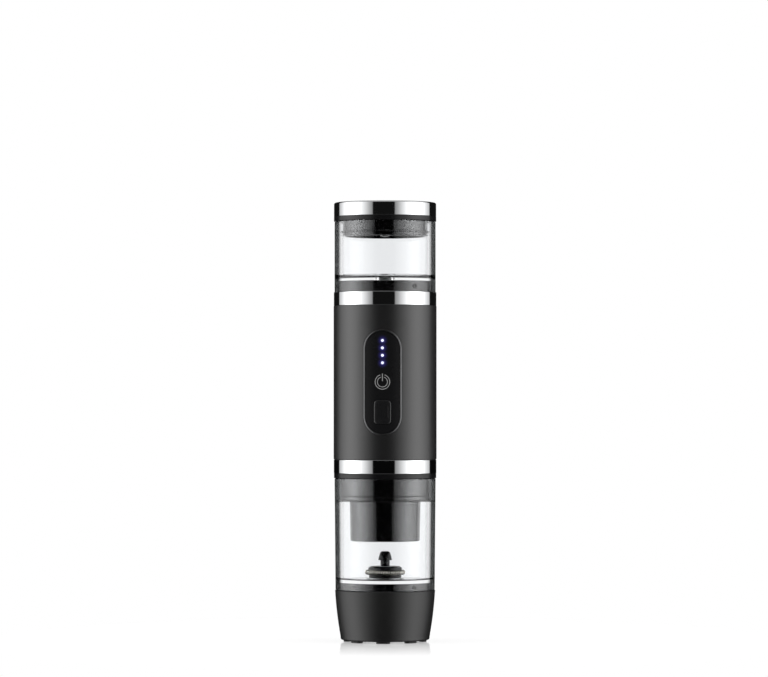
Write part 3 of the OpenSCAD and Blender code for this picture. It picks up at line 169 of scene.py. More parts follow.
def rounded(corners, loop=True, step=11.0, guard=0.12):
    """Side profile of straight runs with filleted corners, as (r, z) points.

    A corner is (r, z) or (r, z, fillet). A fillet of radius f between runs that meet at twice the angle h
    starts f / tan h from the corner and swings about the point f / sin h along the bisector, one point per
    step degrees. A long run also gets a point close to each end, so that it shades flat.
    """
    points, parts = np.array([c[:2] for c in corners], float), []
    for k, corner in enumerate(corners):
        p, f = points[k], corner[2] if len(corner) > 2 else 0.0
        if f == 0.0:
            parts.append(p[None])
            continue
        a, b = points[k - 1] - p, points[(k + 1) % len(points)] - p
        a, b = a / np.hypot(*a), b / np.hypot(*b)
        half = 0.5 * math.acos(np.clip(a @ b, -1, 1))
        turn = math.pi - 2 * half
        middle = p + (a + b) / np.hypot(*(a + b)) * f / math.sin(half)
        t = np.linspace(0, turn, max(3, round(math.degrees(turn) / step) + 1))[:, None]
        first, last = p + a * f / math.tan(half) - middle, p + b * f / math.tan(half) - middle
        parts.append(middle + (np.sin(turn - t) * first + np.sin(t) * last) / math.sin(turn))
    path = np.concatenate(parts)
    onward = np.roll(path, -1, axis=0)
    length = np.maximum(np.hypot(*(onward - path).T), 1e-9)[:, None]
    way = (onward - path) / length
    long = length[:, 0] > 6 * guard
    long[-1] &= loop
    keep = np.stack([np.ones(len(path), bool), long, long], axis=1)
    return np.stack([path, path + guard * way, onward - guard * way], axis=1)[keep]


def around(count=144, edges=()):
    """Angles of a full turn in degrees: an even spread, plus a close pair at each edge angle."""
    even = np.arange(count) * 360 / count
    marks = np.array([(e + s) % 360 for e in edges for s in (-0.04, 0.04)])
    if len(marks):
        even = even[np.abs((even[:, None] - marks + 180) % 360 - 180).min(axis=1) > 0.4]
    return np.sort(np.concatenate([even, marks]))


def within(angles, middles, half):
    """True for each angle, in degrees, that lies within half of any of the middle angles."""
    return np.any([np.abs((angles - middle + 180) % 360 - 180) < half for middle in middles], axis=0)


def turned(profile, angles, out=0.0, lift=0.0, loop=True):
    """Surface of revolution: (r, z) goes to (r cos t, r sin t, z) at each angle t.

    out is added to r and lift to z, each one number or an array of profile points by angles.
    """
    t = np.radians(angles)
    r = np.maximum(profile[:, :1] + out, 0) * np.ones_like(t)
    z = profile[:, 1:] + lift + 0 * t
    points = np.stack([r * np.cos(t), r * np.sin(t), z], axis=-1)
    return points.reshape(-1, 3), grid_faces(len(profile), len(t), loop, True).reshape(-1, 4)


def lathe(corners, loop=True, count=144):
    """A plain turning from filleted corners; without a loop, it begins and ends on the axis."""
    return turned(rounded(corners, loop), around(count), loop=loop)


def pipe(outer, inner, low, high, count=32):
    """An upright pipe stub."""
    return lathe([(outer, low), (outer, high), (inner, high), (inner, low)], count=count)


def repeated(patch, places):
    """Copies of one patch; places holds a 3 by 3 turn and a shift for each."""
    points, faces = patch
    turns, shifts = np.array([p[0] for p in places]), np.array([p[1] for p in places])
    copies = np.einsum("kij,nj->kni", turns, points) + shifts[:, None]
    steps = np.arange(len(places))[:, None, None] * len(points)
    return copies.reshape(-1, 3), (faces + steps).reshape(-1, 4)


def stands(r, angles, turning=False):
    """Upright places at radius r and each angle in degrees, each turned by its own angle if asked."""
    places = []
    for k in np.radians(angles):
        c, s = math.cos(k), math.sin(k)
        turn = np.array([[c, -s, 0], [s, c, 0], [0, 0, 1]]) if turning else np.eye(3)
        places.append((turn, (r * c, r * s, 0.0)))
    return places


def spokes(angles, zs):
    """Places whose own Z points out along each angle, at each height."""
    ways = [(math.cos(k), math.sin(k)) for k in np.radians(angles)]
    return [(np.array([[0, -s, c], [0, c, s], [1, 0, 0]]), (0, 0, z)) for c, s in ways for z in zs]


def outline(x, z, core, reach):
    """The point, nearest to each (x, z), of the curve at one reach round a rectangle of half sizes core."""
    sx, sz = np.clip(x, -core[0], core[0]), np.clip(z, -core[1], core[1])
    away = np.maximum(np.hypot(x - sx, z - sz), 1e-9)
    return sx + reach * (x - sx) / away, sz + reach * (z - sz) / away


def far_ring(count, size):
    """A wide circle of points that outlines are drawn from."""
    t = 2 * np.pi * (np.arange(count) + 0.5) / count
    return size * np.cos(t), size * np.sin(t)


def wrapped(rows, side=-1):
    """Points of rows of (x, z, radius) laid on the front (-1) or back (1) of cylinders of those radii."""
    x, z, r = (np.stack([np.broadcast_to(row[k], np.shape(rows[0][0])) for row in rows]) for k in range(3))
    return np.stack([x, side * np.sqrt(np.maximum(r * r - x * x, 0)), z], axis=-1)


def sleeve(rows, side=-1, loop_rows=False):
    """Closed hoops of (x, z, radius) joined in order into one surface."""
    points = wrapped(rows, side)
    return points.reshape(-1, 3), grid_faces(*points.shape[:2], loop_rows, True).reshape(-1, 4)


def pierced_tube(outer, inner, levels, top, foot, holes, columns=240):
    """Tube with walls at radii outer(z) and inner(z) and shaped holes through its front or back.

    The side profile, up the outer wall, over the top edge, down the inner wall and along the foot, is turned.
    Each hole's block of faces is left out of both walls, and hoops take its place: from the block's edge to
    the hole's outline, down the steps of its rim, in through the wall, and out to the block's edge inside.
    A hole is (side, middle z, core, half width and half height of its block, rim steps of (reach, depth)).
    """
    a = 2 * np.pi * np.arange(columns) / columns - np.pi / 2
    up = np.stack([outer(levels), levels], axis=1)
    down = np.stack([inner(levels), levels], axis=1)[::-1]
    profile = np.concatenate([up, top, down, foot])
    r, z = profile[:, :1], profile[:, 1:]
    points = np.stack([r * np.sin(a), -r * np.cos(a), z + 0 * a], axis=-1).reshape(-1, 3)
    faces = grid_faces(len(profile), columns, True, True)
    kept = np.ones(faces.shape[:2], bool)
    patches, last = [], 2 * len(levels) + len(top) - 1
    for side, middle, core, (half_w, half_h), steps in holes:
        centre = columns // 4 if side < 0 else 3 * columns // 4
        reach_cols = round(columns * math.asin(half_w / BODY_R) / (2 * math.pi))
        j0, j1 = centre - reach_cols, centre + reach_cols
        k0, k1 = (np.searchsorted(levels, middle + s * half_h - 1e-6) for s in (-1, 1))
        kept[k0:k1, j0:j1] = False
        kept[last - k1:last - k0, j0:j1] = False
        ca, cz = a[j0:j1 + 1], levels[k0:k1 + 1]
        pa = np.concatenate([ca[:-1], np.full(len(cz) - 1, ca[-1]), ca[:0:-1], np.full(len(cz) - 1, ca[0])])
        pz = np.concatenate([np.full(len(ca) - 1, cz[0]), cz[:-1], np.full(len(ca) - 1, cz[-1]), cz[:0:-1]])
        xo, xi = outer(pz) * np.sin(pa), inner(pz) * np.sin(pa)
        rim = outline(xo, pz - middle, core, steps[0][0])
        shares = (0, 0.3, 0.6, 0.85, 0.97)
        rows = [(xo + t * (rim[0] - xo), pz + t * (rim[1] + middle - pz)) for t in shares]
        rows = [(x, h, outer(h)) for x, h in rows]
        for reach, depth in steps:
            x, h = outline(xo, pz - middle, core, reach)
            rows.append((x, h + middle, outer(h + middle) - depth))
        x, h = outline(xi, pz - middle, core, steps[-1][0])
        midway = 0.5 * (h + middle + pz)
        rows += [(x, h + middle, inner(h + middle)), (0.5 * (x + xi), midway, inner(midway)),
                 (xi, pz, inner(pz))]
        patches.append(sleeve(rows, side))
    return [(points, faces[kept])] + patches


def printed_line(path, width, low, high):
    """A raised, closed line on the panel: a flat section swept along (x, z) points, radii low to high."""
    way = np.gradient(path, axis=0)
    across = np.stack([-way[:, 1], way[:, 0]], axis=1) / np.hypot(*way.T)[:, None] * width / 2
    rows = [(*(path + s * across).T, r) for s, r in ((-1, low), (-1, high), (1, high), (1, low))]
    points = wrapped(rows)
    n = len(path)
    ends = np.array([[0, n, 2 * n, 3 * n], [n - 1, 2 * n - 1, 3 * n - 1, 4 * n - 1]])
    return points.reshape(-1, 3), np.concatenate([grid_faces(4, n, True, False).reshape(-1, 4), ends])


def tube(path, out, r, sides):
    """Round wire: a circle of radius r square to the path, whose first axis is nearest to out."""
    way = np.gradient(path, axis=0)
    second = np.cross(way, out)
    second /= np.linalg.norm(second, axis=1)[:, None]
    first = np.cross(second, way)
    first /= np.linalg.norm(first, axis=1)[:, None]
    t = 2 * np.pi * np.arange(sides) / sides
    hoops = path[:, None] + r * (np.cos(t)[:, None] * first[:, None] + np.sin(t)[:, None] * second[:, None])
    caps = np.repeat(path[[0, -1]][:, None], sides, axis=1)
    points = np.concatenate([caps[:1], hoops, caps[1:]])
    return points.reshape(-1, 3), grid_faces(*points.shape[:2], False, True).reshape(-1, 4)


def piece(name, patches, body, material, slot, *nodes, sharp=38):
    """Joins patches into one closed mesh in metres, dresses it and hangs it on its body."""
    starts = np.cumsum([0] + [len(p) for p, _ in patches[:-1]])
    points = np.concatenate([p for p, _ in patches]) * MM
    faces = np.concatenate([f + s for (_, f), s in zip(patches, starts)])
    mesh = bpy.data.meshes.new(name)
    mesh.from_pydata(points, [], faces.tolist())
    work = bmesh.new()
    work.from_mesh(mesh)
    bmesh.ops.remove_doubles(work, verts=work.verts, dist=0.002 * MM)
    bmesh.ops.recalc_face_normals(work, faces=work.faces)
    work.to_mesh(mesh)
    work.free()
    mesh.shade_smooth()
    mesh.set_sharp_from_angle(angle=math.radians(sharp))
    mesh.materials.append(material)
    obj = bpy.data.objects.new(name, mesh)
    scene.collection.objects.link(obj)
    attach(obj, body)
    if nodes:
        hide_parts(*nodes)
    return obj


# Materials

def begin(name):
    """A new node material: returns it with its tree, its Principled shader and its Object coordinates."""
    material = bpy.data.materials.new(name)
    material.use_nodes = True
    tree = material.node_tree
    tree.nodes.clear()
    shader = add(tree, "BsdfPrincipled")
    add(tree, "OutputMaterial", {"Surface": shader.outputs[0]})
    return material, tree, shader, add(tree, "TexCoord").outputs["Object"]


def grained(name, pale, dark, rough, spread, grain_mm, bump_mm, metallic=0.0, ior=1.5, shine=0.5, clear=0.0,
            stretch=(1, 1, 1)):
    """A moulded, painted, drawn or rolled surface.

    Blotches of 14 grains' width shade the colour between two close tones and spread the roughness about its
    middle value; noise at the grain's own size lifts the surface by bump_mm. shine is the strength of what it
    mirrors, and clear the share of light that it lets through.
    """
    material, tree, shader, coord = begin(name)
    place = add(tree, "Mapping", {"Scale": stretch, "Vector": coord}).outputs[0]
    noise = clouds(tree, place, grain_mm, 3.0, Roughness=0.55)
    broad = clouds(tree, place, 14 * grain_mm, 2.0)
    lift = add(tree, "Bump", {"Strength": 0.5, "Distance": bump_mm * MM, "Height": noise}).outputs["Normal"]
    feed(tree, shader, {
        "Base Color": blended(tree, broad, dark, pale),
        "Roughness": mapped(tree, broad, 0.0, 1.0, rough - spread, rough + spread),
        "Normal": lift, "Metallic": metallic, "IOR": ior,
        "Specular IOR Level": shine, "Transmission Weight": clear})
    return material


# Satin lacquer on drawn aluminium: fine dry grain, broad soft highlights down the tube's sides.
satin_lacquer = grained("satin_lacquer", "#191919", "#131314", 0.33, 0.02, 0.35, 0.008, ior=1.55)
# The same lacquer on the moulded base: a shade greyer and flatter.
base_lacquer = grained("base_lacquer", "#1f1f1f", "#191919", 0.38, 0.02, 0.35, 0.008, ior=1.55, shine=0.31)
# Moulded ABS, lightly polished tool: dark, with clear but soft-edged reflections.
moulded_abs = grained("moulded_abs", "#111112", "#0d0d0e", 0.22, 0.03, 1.6, 0.004, shine=0.27)
# Polished ABS of the brewing parts and the lid's plug: near-mirror tool, sharper reflections.
polished_abs = grained("polished_abs", "#0c0c0d", "#09090a", 0.11, 0.02, 2.0, 0.003, shine=0.85)
# ABS of the two collars inside the clear skirts: moulded as the lid's, with more shine.
collar_abs = grained("collar_abs", "#111112", "#0d0d0e", 0.18, 0.03, 1.6, 0.004, shine=0.5)
# Chrome plating on polished ABS: a mirror, with the faintest ripple of the moulding under it.
chrome_plate = grained("chrome_plate", "#c6c7c8", "#c0c1c2", 0.06, 0.015, 6.0, 0.002, metallic=1.0)
# Moulded rubber: dull and almost black.
dull_rubber = grained("dull_rubber", "#1d1d1d", "#171717", 0.70, 0.06, 0.5, 0.015, ior=1.52)
# Glazed rubber of the lid's seal and vent: black, with a wet shine on the lip.
glazed_rubber = grained("glazed_rubber", "#1a1a1b", "#151516", 0.18, 0.03, 0.8, 0.004, ior=1.52, shine=0.9)
# Drawn stainless steel: fine lines round the turning, greyish.
drawn_steel = grained("drawn_steel", "#c6c7c7", "#b4b6b7", 0.26, 0.05, 0.5, 0.004, metallic=1.0,
                      stretch=(1, 1, 5))
# Spring wire: bright drawn stainless with a warm cast.
spring_wire = grained("spring_wire", "#dcd9d0", "#c9c6be", 0.24, 0.05, 0.3, 0.003, metallic=1.0)
# Nickel plate of magnets and terminals.
nickel_plate = grained("nickel_plate", "#b9b6ae", "#a9a69f", 0.22, 0.04, 0.8, 0.003, metallic=1.0)
# Zinc-plated motor can: spangled grey.
zinc_can = grained("zinc_can", "#a5a8ac", "#92959a", 0.34, 0.08, 1.5, 0.006, metallic=1.0)
# Shrunk PVC sleeve on the cells.
cell_sleeve = grained("cell_sleeve", "#2d6e9e", "#286490", 0.30, 0.05, 1.2, 0.010)
# Glass-filled nylon of the hidden frame: dry, mottled grey.
filled_nylon = grained("filled_nylon", "#444446", "#36373a", 0.58, 0.06, 0.7, 0.020)
# Silicone tube: pale and waxy.
waxy_tube = grained("waxy_tube", "#d5dadd", "#c6cccf", 0.40, 0.05, 1.0, 0.008, clear=0.4)
# Solder mask over copper: green with darker blotches of track.
solder_mask = grained("solder_mask", "#256b41", "#174a2b", 0.32, 0.06, 0.9, 0.030)
# Acetal switch body: plain grey, faintly waxy.
acetal_grey = grained("acetal_grey", "#77797d", "#696b6f", 0.38, 0.05, 0.6, 0.008)
# Polycarbonate of the power key: fine moulded texture, a little paler than the film round it.
textured_key = grained("textured_key", "#19191a", "#151516", 0.24, 0.03, 0.3, 0.004)
# Black acetal of the locking pins: matt, a shade duller than the collars they stand on.
matt_acetal = grained("matt_acetal", "#131313", "#0f0f0f", 0.62, 0.05, 0.3, 0.006, shine=0.2)
# Black nylon of the whisk's hub: satin, slightly waxy.
satin_nylon = grained("satin_nylon", "#121213", "#0e0e0f", 0.28, 0.04, 0.5, 0.005, shine=0.3)
# Anodised aluminium of the panel's bezel: dark grey satin metal.
anodised_bezel = grained("anodised_bezel", "#5e5e5f", "#555556", 0.30, 0.03, 0.4, 0.003, metallic=1.0)
# White food silicone of the port's seal, and of a white ring at the foot of the whisk's stem: a painted
# highlight that stands in for the glint there.
white_silicone = grained("white_silicone", "#e6e8e8", "#dcdfdf", 0.5, 0.05, 0.6, 0.006, ior=1.41)
# Grey print on the panel: flat, opaque ink.
grey_ink = grained("grey_ink", "#9a9a9a", "#8c8c8c", 0.42, 0.04, 0.3, 0.004)


def clear_copolyester():
    """Injection-moulded clear copolyester: water-white, with slow flow waves that only bend reflections.

    Its outer skin, all that lies beyond SKIN_R, carries painted shade: its colour darkens towards a flat
    glance, which paints the dark lines down the vessels' sides. A coat against glare dims what the wall
    mirrors.
    """
    SKIN_R, WAVE_MM = 33.2, 25
    material, tree, shader, coord = begin("clear_copolyester")
    flat = add(tree, "VectorMath", {0: coord, 1: (1, 1, 0)}, operation="MULTIPLY").outputs[0]
    radius = add(tree, "VectorMath", {0: flat}, operation="LENGTH").outputs["Value"]
    skin = calc(tree, "GREATER_THAN", radius, SKIN_R * MM)
    # Painted shade: the outer skin's colour darkens towards a flat glance, drawing the dark edge lines.
    shade = calc(tree, "MULTIPLY", skin, mapped(tree, facing(tree), 0.435, 0.615, smooth=True))
    waves = clouds(tree, coord, WAVE_MM, 1.0)
    lift = add(tree, "Bump", {"Strength": 0.25, "Distance": 0.01 * MM, "Height": waves}).outputs["Normal"]
    feed(tree, shader, {
        "Base Color": blended(tree, shade, "#f6f7f8", "#161717"),
        "Roughness": mapped(tree, waves, 0.0, 1.0, 0.0, 0.012),
        "Normal": lift, "IOR": 1.42, "Specular Tint": (0.55, 0.55, 0.55, 1.0), "Transmission Weight": 1.0})
    return material


def lamp_distance(tree, coord):
    """How far a point is from the nearest indicator lamp."""
    nearest = None
    for z in LED_ZS:
        lamp = {0: coord, 1: (0, -PANEL_R * MM, z * MM)}
        away = add(tree, "VectorMath", lamp, operation="DISTANCE").outputs["Value"]
        nearest = away if nearest is None else calc(tree, "MINIMUM", nearest, away)
    return nearest


def printed_film():
    """Screen-printed polycarbonate film: dense black with a low sheen, and a blue glow painted round each
    lamp.

    The glow falls from just inside the lamp's edge to its reach, as the power 2.5 of the share of the way
    left.
    """
    GLOW_EDGE, GLOW_REACH, CLOUD_MM = 0.8, 4.4, 8
    material, tree, shader, coord = begin("printed_film")
    near = mapped(tree, lamp_distance(tree, coord), GLOW_EDGE * MM, GLOW_REACH * MM, 1.0, 0.0)
    noise = clouds(tree, coord, CLOUD_MM, 2.0)
    feed(tree, shader, {
        "Base Color": linear("#151516"), "Specular IOR Level": 0.08,
        "Roughness": mapped(tree, noise, 0.0, 1.0, 0.24, 0.30),
        # Painted light: the film itself emits the blue glow round each lamp.
        "Emission Color": linear("#544cc0"),
        "Emission Strength": calc(tree, "MULTIPLY", calc(tree, "POWER", near, 2.5), 0.32)})
    return material


def lit_light_pipe():
    """Polycarbonate light pipe, lit: white in the middle, lavender towards its rim."""
    material, tree, shader, coord = begin("lit_light_pipe")
    rim = mapped(tree, lamp_distance(tree, coord), 0.2 * LED_R * MM, LED_R * MM)
    feed(tree, shader, {
        "Base Color": linear("#dfe8f8"), "Roughness": 0.25, "IOR": 1.58,
        "Emission Color": blended(tree, rim, "#fbfaff", "#a4a2d6"), "Emission Strength": 0.72})
    return material


clear_wall = clear_copolyester()
panel_gloss = printed_film()
light_pipe = lit_light_pipe()


# Lid

PLUG_ROOF_Z, VENT_HOLE_R, VENT_R, VENT_NECK_R, VENT_HEAD_R = LID_Z - 2, 1.95, 3.7, 1.85, 3.145
SEAL_ROOM, SEAL_HALF, LIP_HALF, SEAL_LIP_R = 0.7, 0.6, 0.3, MOUTH_R - 0.25
SEAL_GROOVE_R, SEAL_IN_R, SEAL_ROOT_R = PLUG_R - 0.6, PLUG_R - 0.5, PLUG_R + 0.7
piece("lid_top", [lathe([
    (0, LID_TOP_Z), (LID_CORE_R, LID_TOP_Z, 0.2), (LID_CORE_R, LID_BAND_Z), (LID_R, LID_BAND_Z, 0.12),
    (LID_R, LID_Z, 0.3), (PLUG_IN_R, LID_Z), (PLUG_IN_R, LID_TOP_Z - LID_WALL, 0.5),
    (0, LID_TOP_Z - LID_WALL)], loop=False)], "lid", moulded_abs, "moulded_black", "lid_cap")
piece("lid_ring", [lathe([
    (LID_R, LID_BAND_Z, 0.15), (LID_R, TOP_Z, 1.2), (LID_R - LID_WALL, TOP_Z, 0.3),
    (LID_R - LID_WALL, LID_BAND_Z)])], "lid", chrome_plate, "polished_band", "lid_band")
piece("lid_insert", [lathe([
    (PLUG_R, LID_Z), (PLUG_R, SEAL_Z + SEAL_ROOM, 0.1), (SEAL_GROOVE_R, SEAL_Z + SEAL_ROOM),
    (SEAL_GROOVE_R, SEAL_Z - SEAL_ROOM), (PLUG_R, SEAL_Z - SEAL_ROOM, 0.1), (PLUG_R, PLUG_Z, 0.5),
    (PLUG_IN_R, PLUG_Z, 0.3), (PLUG_IN_R, PLUG_ROOF_Z, 0.5), (VENT_HOLE_R, PLUG_ROOF_Z),
    (VENT_HOLE_R, LID_Z)])], "lid", polished_abs, "moulded_black", "lid_plug")
piece("lid_lip_seal", [lathe([
    (SEAL_IN_R, SEAL_Z - SEAL_HALF), (SEAL_ROOT_R, SEAL_Z - SEAL_HALF, 0.2),
    (SEAL_ROOT_R, SEAL_Z - LIP_HALF, 0.1), (SEAL_LIP_R, SEAL_Z - LIP_HALF, 0.25),
    (SEAL_LIP_R, SEAL_Z + LIP_HALF, 0.25), (SEAL_ROOT_R, SEAL_Z + LIP_HALF, 0.1),
    (SEAL_ROOT_R, SEAL_Z + SEAL_HALF, 0.2), (SEAL_IN_R, SEAL_Z + SEAL_HALF)])],
      "lid", glazed_rubber, "silicone", "lid_seal")
piece("lid_vent", [lathe([
    (0, PLUG_Z + 0.1), (VENT_R, PLUG_Z + 0.1, 2.775), (VENT_R, PLUG_ROOF_Z, 0.2), (VENT_NECK_R, PLUG_ROOF_Z),
    (VENT_NECK_R, LID_Z), (VENT_HEAD_R, LID_Z), (VENT_HEAD_R, LID_Z + 1, 0.3), (0, LID_Z + 1)], loop=False)],
      "lid", glazed_rubber, "gasket_rubber", "vent_valve")


# Clear vessels with their lock runs

RUN_HALF = PIN_R + RUN_GAP


def skirt_runs(profile, r, pin_z, angles):
    """How far the lock runs cut into a skirt's inner face: rows between the run's levels are let out over the
    whole turn, and the rows below it only over the way that lets a pin in."""
    half = math.degrees(math.asin(RUN_HALF / r))
    z = profile[:, 1]
    inner = np.abs(profile[:, 0] - r) < 0.25
    level = inner & (np.abs(z - pin_z) < RUN_HALF + 0.01)
    below = inner & (z <= pin_z - RUN_HALF + 0.01)
    turn = within(angles, [a - LOCK_TURN / 2 for a in PIN_ANGLES], LOCK_TURN / 2 + half)
    way_in = within(angles, [a - LOCK_TURN for a in PIN_ANGLES], half)
    return (PIN_PROUD + RUN_GAP) * ((level[:, None] & turn) | (below[:, None] & way_in))


def run_edges(r):
    """Angles at which the lock runs of a skirt of radius r begin and end."""
    half = math.degrees(math.asin(RUN_HALF / r))
    return [a + e for a in PIN_ANGLES for e in (-LOCK_TURN - half, -LOCK_TURN + half, half)]


def skirt_side(r, pin_z):
    """Profile points down a skirt's inner face: a close pair at the top and at the foot of the lock run."""
    top, low = pin_z + RUN_HALF, pin_z - RUN_HALF
    return [(r, top + 0.02), (r, top), (r, low), (r, low - 0.02)]


def vessel(name, corners, skirt_r, pin_z, body, node, loop=True):
    """One clear vessel, turned from its corners, with lock runs in its skirt."""
    side, angles = rounded(corners, loop), around(edges=run_edges(skirt_r))
    wall = turned(side, angles, skirt_runs(side, skirt_r, pin_z, angles), loop=loop)
    piece(name, [wall], body, clear_wall, "clear_wall", node)


TANK_PORT_R = 4.8
vessel("tank_moulding", [
    (TANK_SKIRT_R, TANK_UNDER_Z, 0.3), *skirt_side(TANK_SKIRT_R, TANK_PIN_Z),
    (TANK_SKIRT_R, TANK_SKIRT_Z, 0.15), (TANK_R, TANK_SKIRT_Z, 0.25), (TANK_R, TANK_RIM_Z, 0.8),
    (MOUTH_R, TANK_RIM_Z, 0.3),
    (MOUTH_R, TANK_LEDGE_Z, 0.05), (VESSEL_IN_R, TANK_LEDGE_Z, 0.05), (VESSEL_IN_R, TANK_FLOOR_Z, 3),
    (TANK_PORT_R, TANK_FLOOR_Z, 0.2), (TANK_PORT_R, TANK_UNDER_Z, 0.2)],
       TANK_SKIRT_R, TANK_PIN_Z, "tank", "water_tank")
vessel("cup_moulding", [
    (0, CUP_UNDER_Z), (CUP_SKIRT_R, CUP_UNDER_Z, 0.3), *skirt_side(CUP_SKIRT_R, CUP_PIN_Z),
    (CUP_SKIRT_R, CUP_SKIRT_Z, 0.15), (CUP_FOOT_R, CUP_SKIRT_Z, 0.25), (CUP_RIM_R, CUP_RIM_Z, 0.8),
    (CUP_MOUTH_R, CUP_RIM_Z, 0.3), (CUP_MOUTH_R, CUP_LEDGE_Z, 0.3), (VESSEL_IN_R, CUP_LEDGE_Z, 0.3),
    (VESSEL_IN_R, CUP_FLOOR_Z, 1.4), (0, CUP_FLOOR_Z)],
       CUP_SKIRT_R, CUP_PIN_Z, "cup", "cup", loop=False)


# Body

def lock_pins(r, z):
    """The locking pins of a collar of radius r, rooted in it, their ends rounded."""
    pin = lathe([(0, r - 1.2), (PIN_R, r - 1.2), (PIN_R, r + PIN_PROUD, 0.35), (0, r + PIN_PROUD)],
                loop=False, count=32)
    return repeated(pin, spokes(PIN_ANGLES, [z]))


PORT_R, PORT_BORE_R, PORT_ROOT_R, PORT_FOOT_Z, PORT_TOP_Z = 3.4, 2.0, 3.2, 235.7, 246.95
PORT_GROOVE_R, PORT_GROOVE_Z, PORT_GROOVE_TOP_Z = 2.9, 244.65, 246.25
DOCK_ROOF_Z, DOCK_FOOT_Z, DOCK_IN_R = 241.8, 226.0, 30.2
piece("tank_dock", [lathe([
    (PORT_ROOT_R, PORT_FOOT_Z), (PORT_ROOT_R, DOCK_ROOF_Z), (DOCK_IN_R, DOCK_ROOF_Z),
    (DOCK_IN_R, DOCK_FOOT_Z), (CORE_R, DOCK_FOOT_Z), (CORE_R, TANK_COLLAR_Z, 0.35), (PORT_R, TANK_COLLAR_Z),
    (PORT_R, PORT_GROOVE_Z), (PORT_GROOVE_R, PORT_GROOVE_Z), (PORT_GROOVE_R, PORT_GROOVE_TOP_Z),
    (PORT_R, PORT_GROOVE_TOP_Z), (PORT_R, PORT_TOP_Z, 0.2), (PORT_BORE_R, PORT_TOP_Z),
    (PORT_BORE_R, PORT_FOOT_Z)])],
      "machine", collar_abs, "moulded_black", "tank_collar")
piece("tank_pins", [lock_pins(CORE_R, TANK_PIN_Z)], "machine", matt_acetal, "moulded_black")
for name, foot, node in (("upper_ring", UPPER_BAND_Z, "upper_band"),
                         ("lower_ring", LOWER_BAND_Z, "lower_band")):
    piece(name, [lathe([
        (BAND_R, foot, 0.3), (BAND_R, foot + BAND_H, 0.3), (BAND_IN_R, foot + BAND_H), (BAND_IN_R, foot)])],
          "machine", chrome_plate, "polished_band", node)

# Rows of the tube's walls are even over each hole's block, and far apart between the blocks.
REVEAL, PANEL_BLOCK, SLOT_BLOCK = 0.4, (17.0, 38.0), (8.0, 3.8)
body_levels = np.concatenate([
    [BODY_Z + REVEAL + 0.12, 126.0], np.linspace(127.0, 133.4, 9), [134.4, 136.75],
    np.linspace(138.0, 213.5, 40), [214.75, 221.0, UPPER_BAND_Z - 0.42]])
body_top = rounded([(BODY_R, UPPER_BAND_Z - 0.3), (BODY_R, UPPER_BAND_Z, 0.3), (BODY_IN_R, UPPER_BAND_Z)],
                   loop=False)[1:]
body_foot = np.array([
    (BODY_IN_R, BODY_Z), (BODY_R - REVEAL, BODY_Z), (BODY_R - REVEAL, BODY_Z + REVEAL - 0.06),
    (BODY_R - REVEAL + 0.06, BODY_Z + REVEAL), (BODY_R - 0.1, BODY_Z + REVEAL)])
slot_rim = [(SLOT_REACH + 0.35, 0.0), (SLOT_REACH + 0.12, 0.06), (SLOT_REACH, 0.25)]
bezel_rebate = ((1.42, 0.0), (1.36, 0.01), (1.30, 0.06), (1.28, 0.12), (1.28, 0.8), (0.1, 0.8))
piece("body_tube", pierced_tube(
    lambda z: np.full_like(z, BODY_R), lambda z: np.full_like(z, BODY_IN_R), body_levels, body_top, body_foot,
    [(-1, PANEL_Z, PANEL_CORE, PANEL_BLOCK, [(PANEL_REACH + out, depth) for out, depth in bezel_rebate]),
     (1, BODY_SLOT_Z, SLOT_CORE, SLOT_BLOCK, slot_rim)]),
      "machine", satin_lacquer, "satin_black", "body_shell")

GASKET_R, GASKET_TOP_Z, COLLAR_BORE_R = 34.0, 112.1, 29.1
piece("lower_rim", [lathe([
    (LOWER_COLLAR_R, LOWER_COLLAR_Z, 0.3), (LOWER_COLLAR_R, LOWER_BAND_Z, 0.12), (CORE_R, LOWER_BAND_Z),
    (CORE_R, BODY_Z), (COLLAR_BORE_R, BODY_Z), (COLLAR_BORE_R, LOWER_COLLAR_Z), (MOUTH_R, LOWER_COLLAR_Z),
    (MOUTH_R, GASKET_TOP_Z), (GASKET_R, GASKET_TOP_Z), (GASKET_R, LOWER_COLLAR_Z)])],
      "machine", moulded_abs, "moulded_black", "lower_collar")


# Panel, lamps and power key

panel_ring = far_ring(200, 60.0)
key_ring = far_ring(96, 20.0)


def panel_rows(reach, r, shares):
    """Hoops of the panel's face between its own outline and the key's hole, at shares of the way in."""
    x, z = outline(*panel_ring, PANEL_CORE, reach)
    hx, hz = outline(x, z + PANEL_Z - KEY_Z, KEY_CORE, KEY_REACH + RUN_GAP)
    hz = hz + KEY_Z
    return [(x + t * (hx - x), z + PANEL_Z + t * (hz - z - PANEL_Z), r) for t in shares]


def bezel_row(out, depth):
    """One hoop of the bezel, out from the panel's edge and down from the tube's surface."""
    x, z = outline(*panel_ring, PANEL_CORE, PANEL_REACH + out)
    return x, z + PANEL_Z, BODY_R - depth


def key_row(reach, r, share=1.0, core=KEY_CORE):
    """One hoop of the power key: its outline at a reach, drawn in by a share, at radius r."""
    x, z = outline(*key_ring, core, reach)
    return share * x, share * z + KEY_Z, r


face_shares = np.concatenate([[0, 0.008], np.linspace(0.03, 0.97, 30), [0.992, 1]])
piece("panel_face", [sleeve(
    panel_rows(PANEL_REACH, PANEL_R - 0.12, [0]) + panel_rows(PANEL_REACH - 0.1, PANEL_R, face_shares)
    + panel_rows(PANEL_REACH, PANEL_BACK_R, face_shares[::-3]), loop_rows=True)],
      "machine", panel_gloss, "panel_gloss", "control_panel")

bezel_section = ((0.12, 0.78), (0.14, 0.40), (0.20, 0.15), (0.30, 0.06), (0.50, 0.04), (0.72, 0.04),
                 (0.95, 0.09), (1.12, 0.19), (1.22, 0.34), (1.25, 0.50), (1.25, 0.78))
piece("panel_bezel", [sleeve([bezel_row(*step) for step in bezel_section], loop_rows=True)],
      "machine", anodised_bezel, "satin_black")

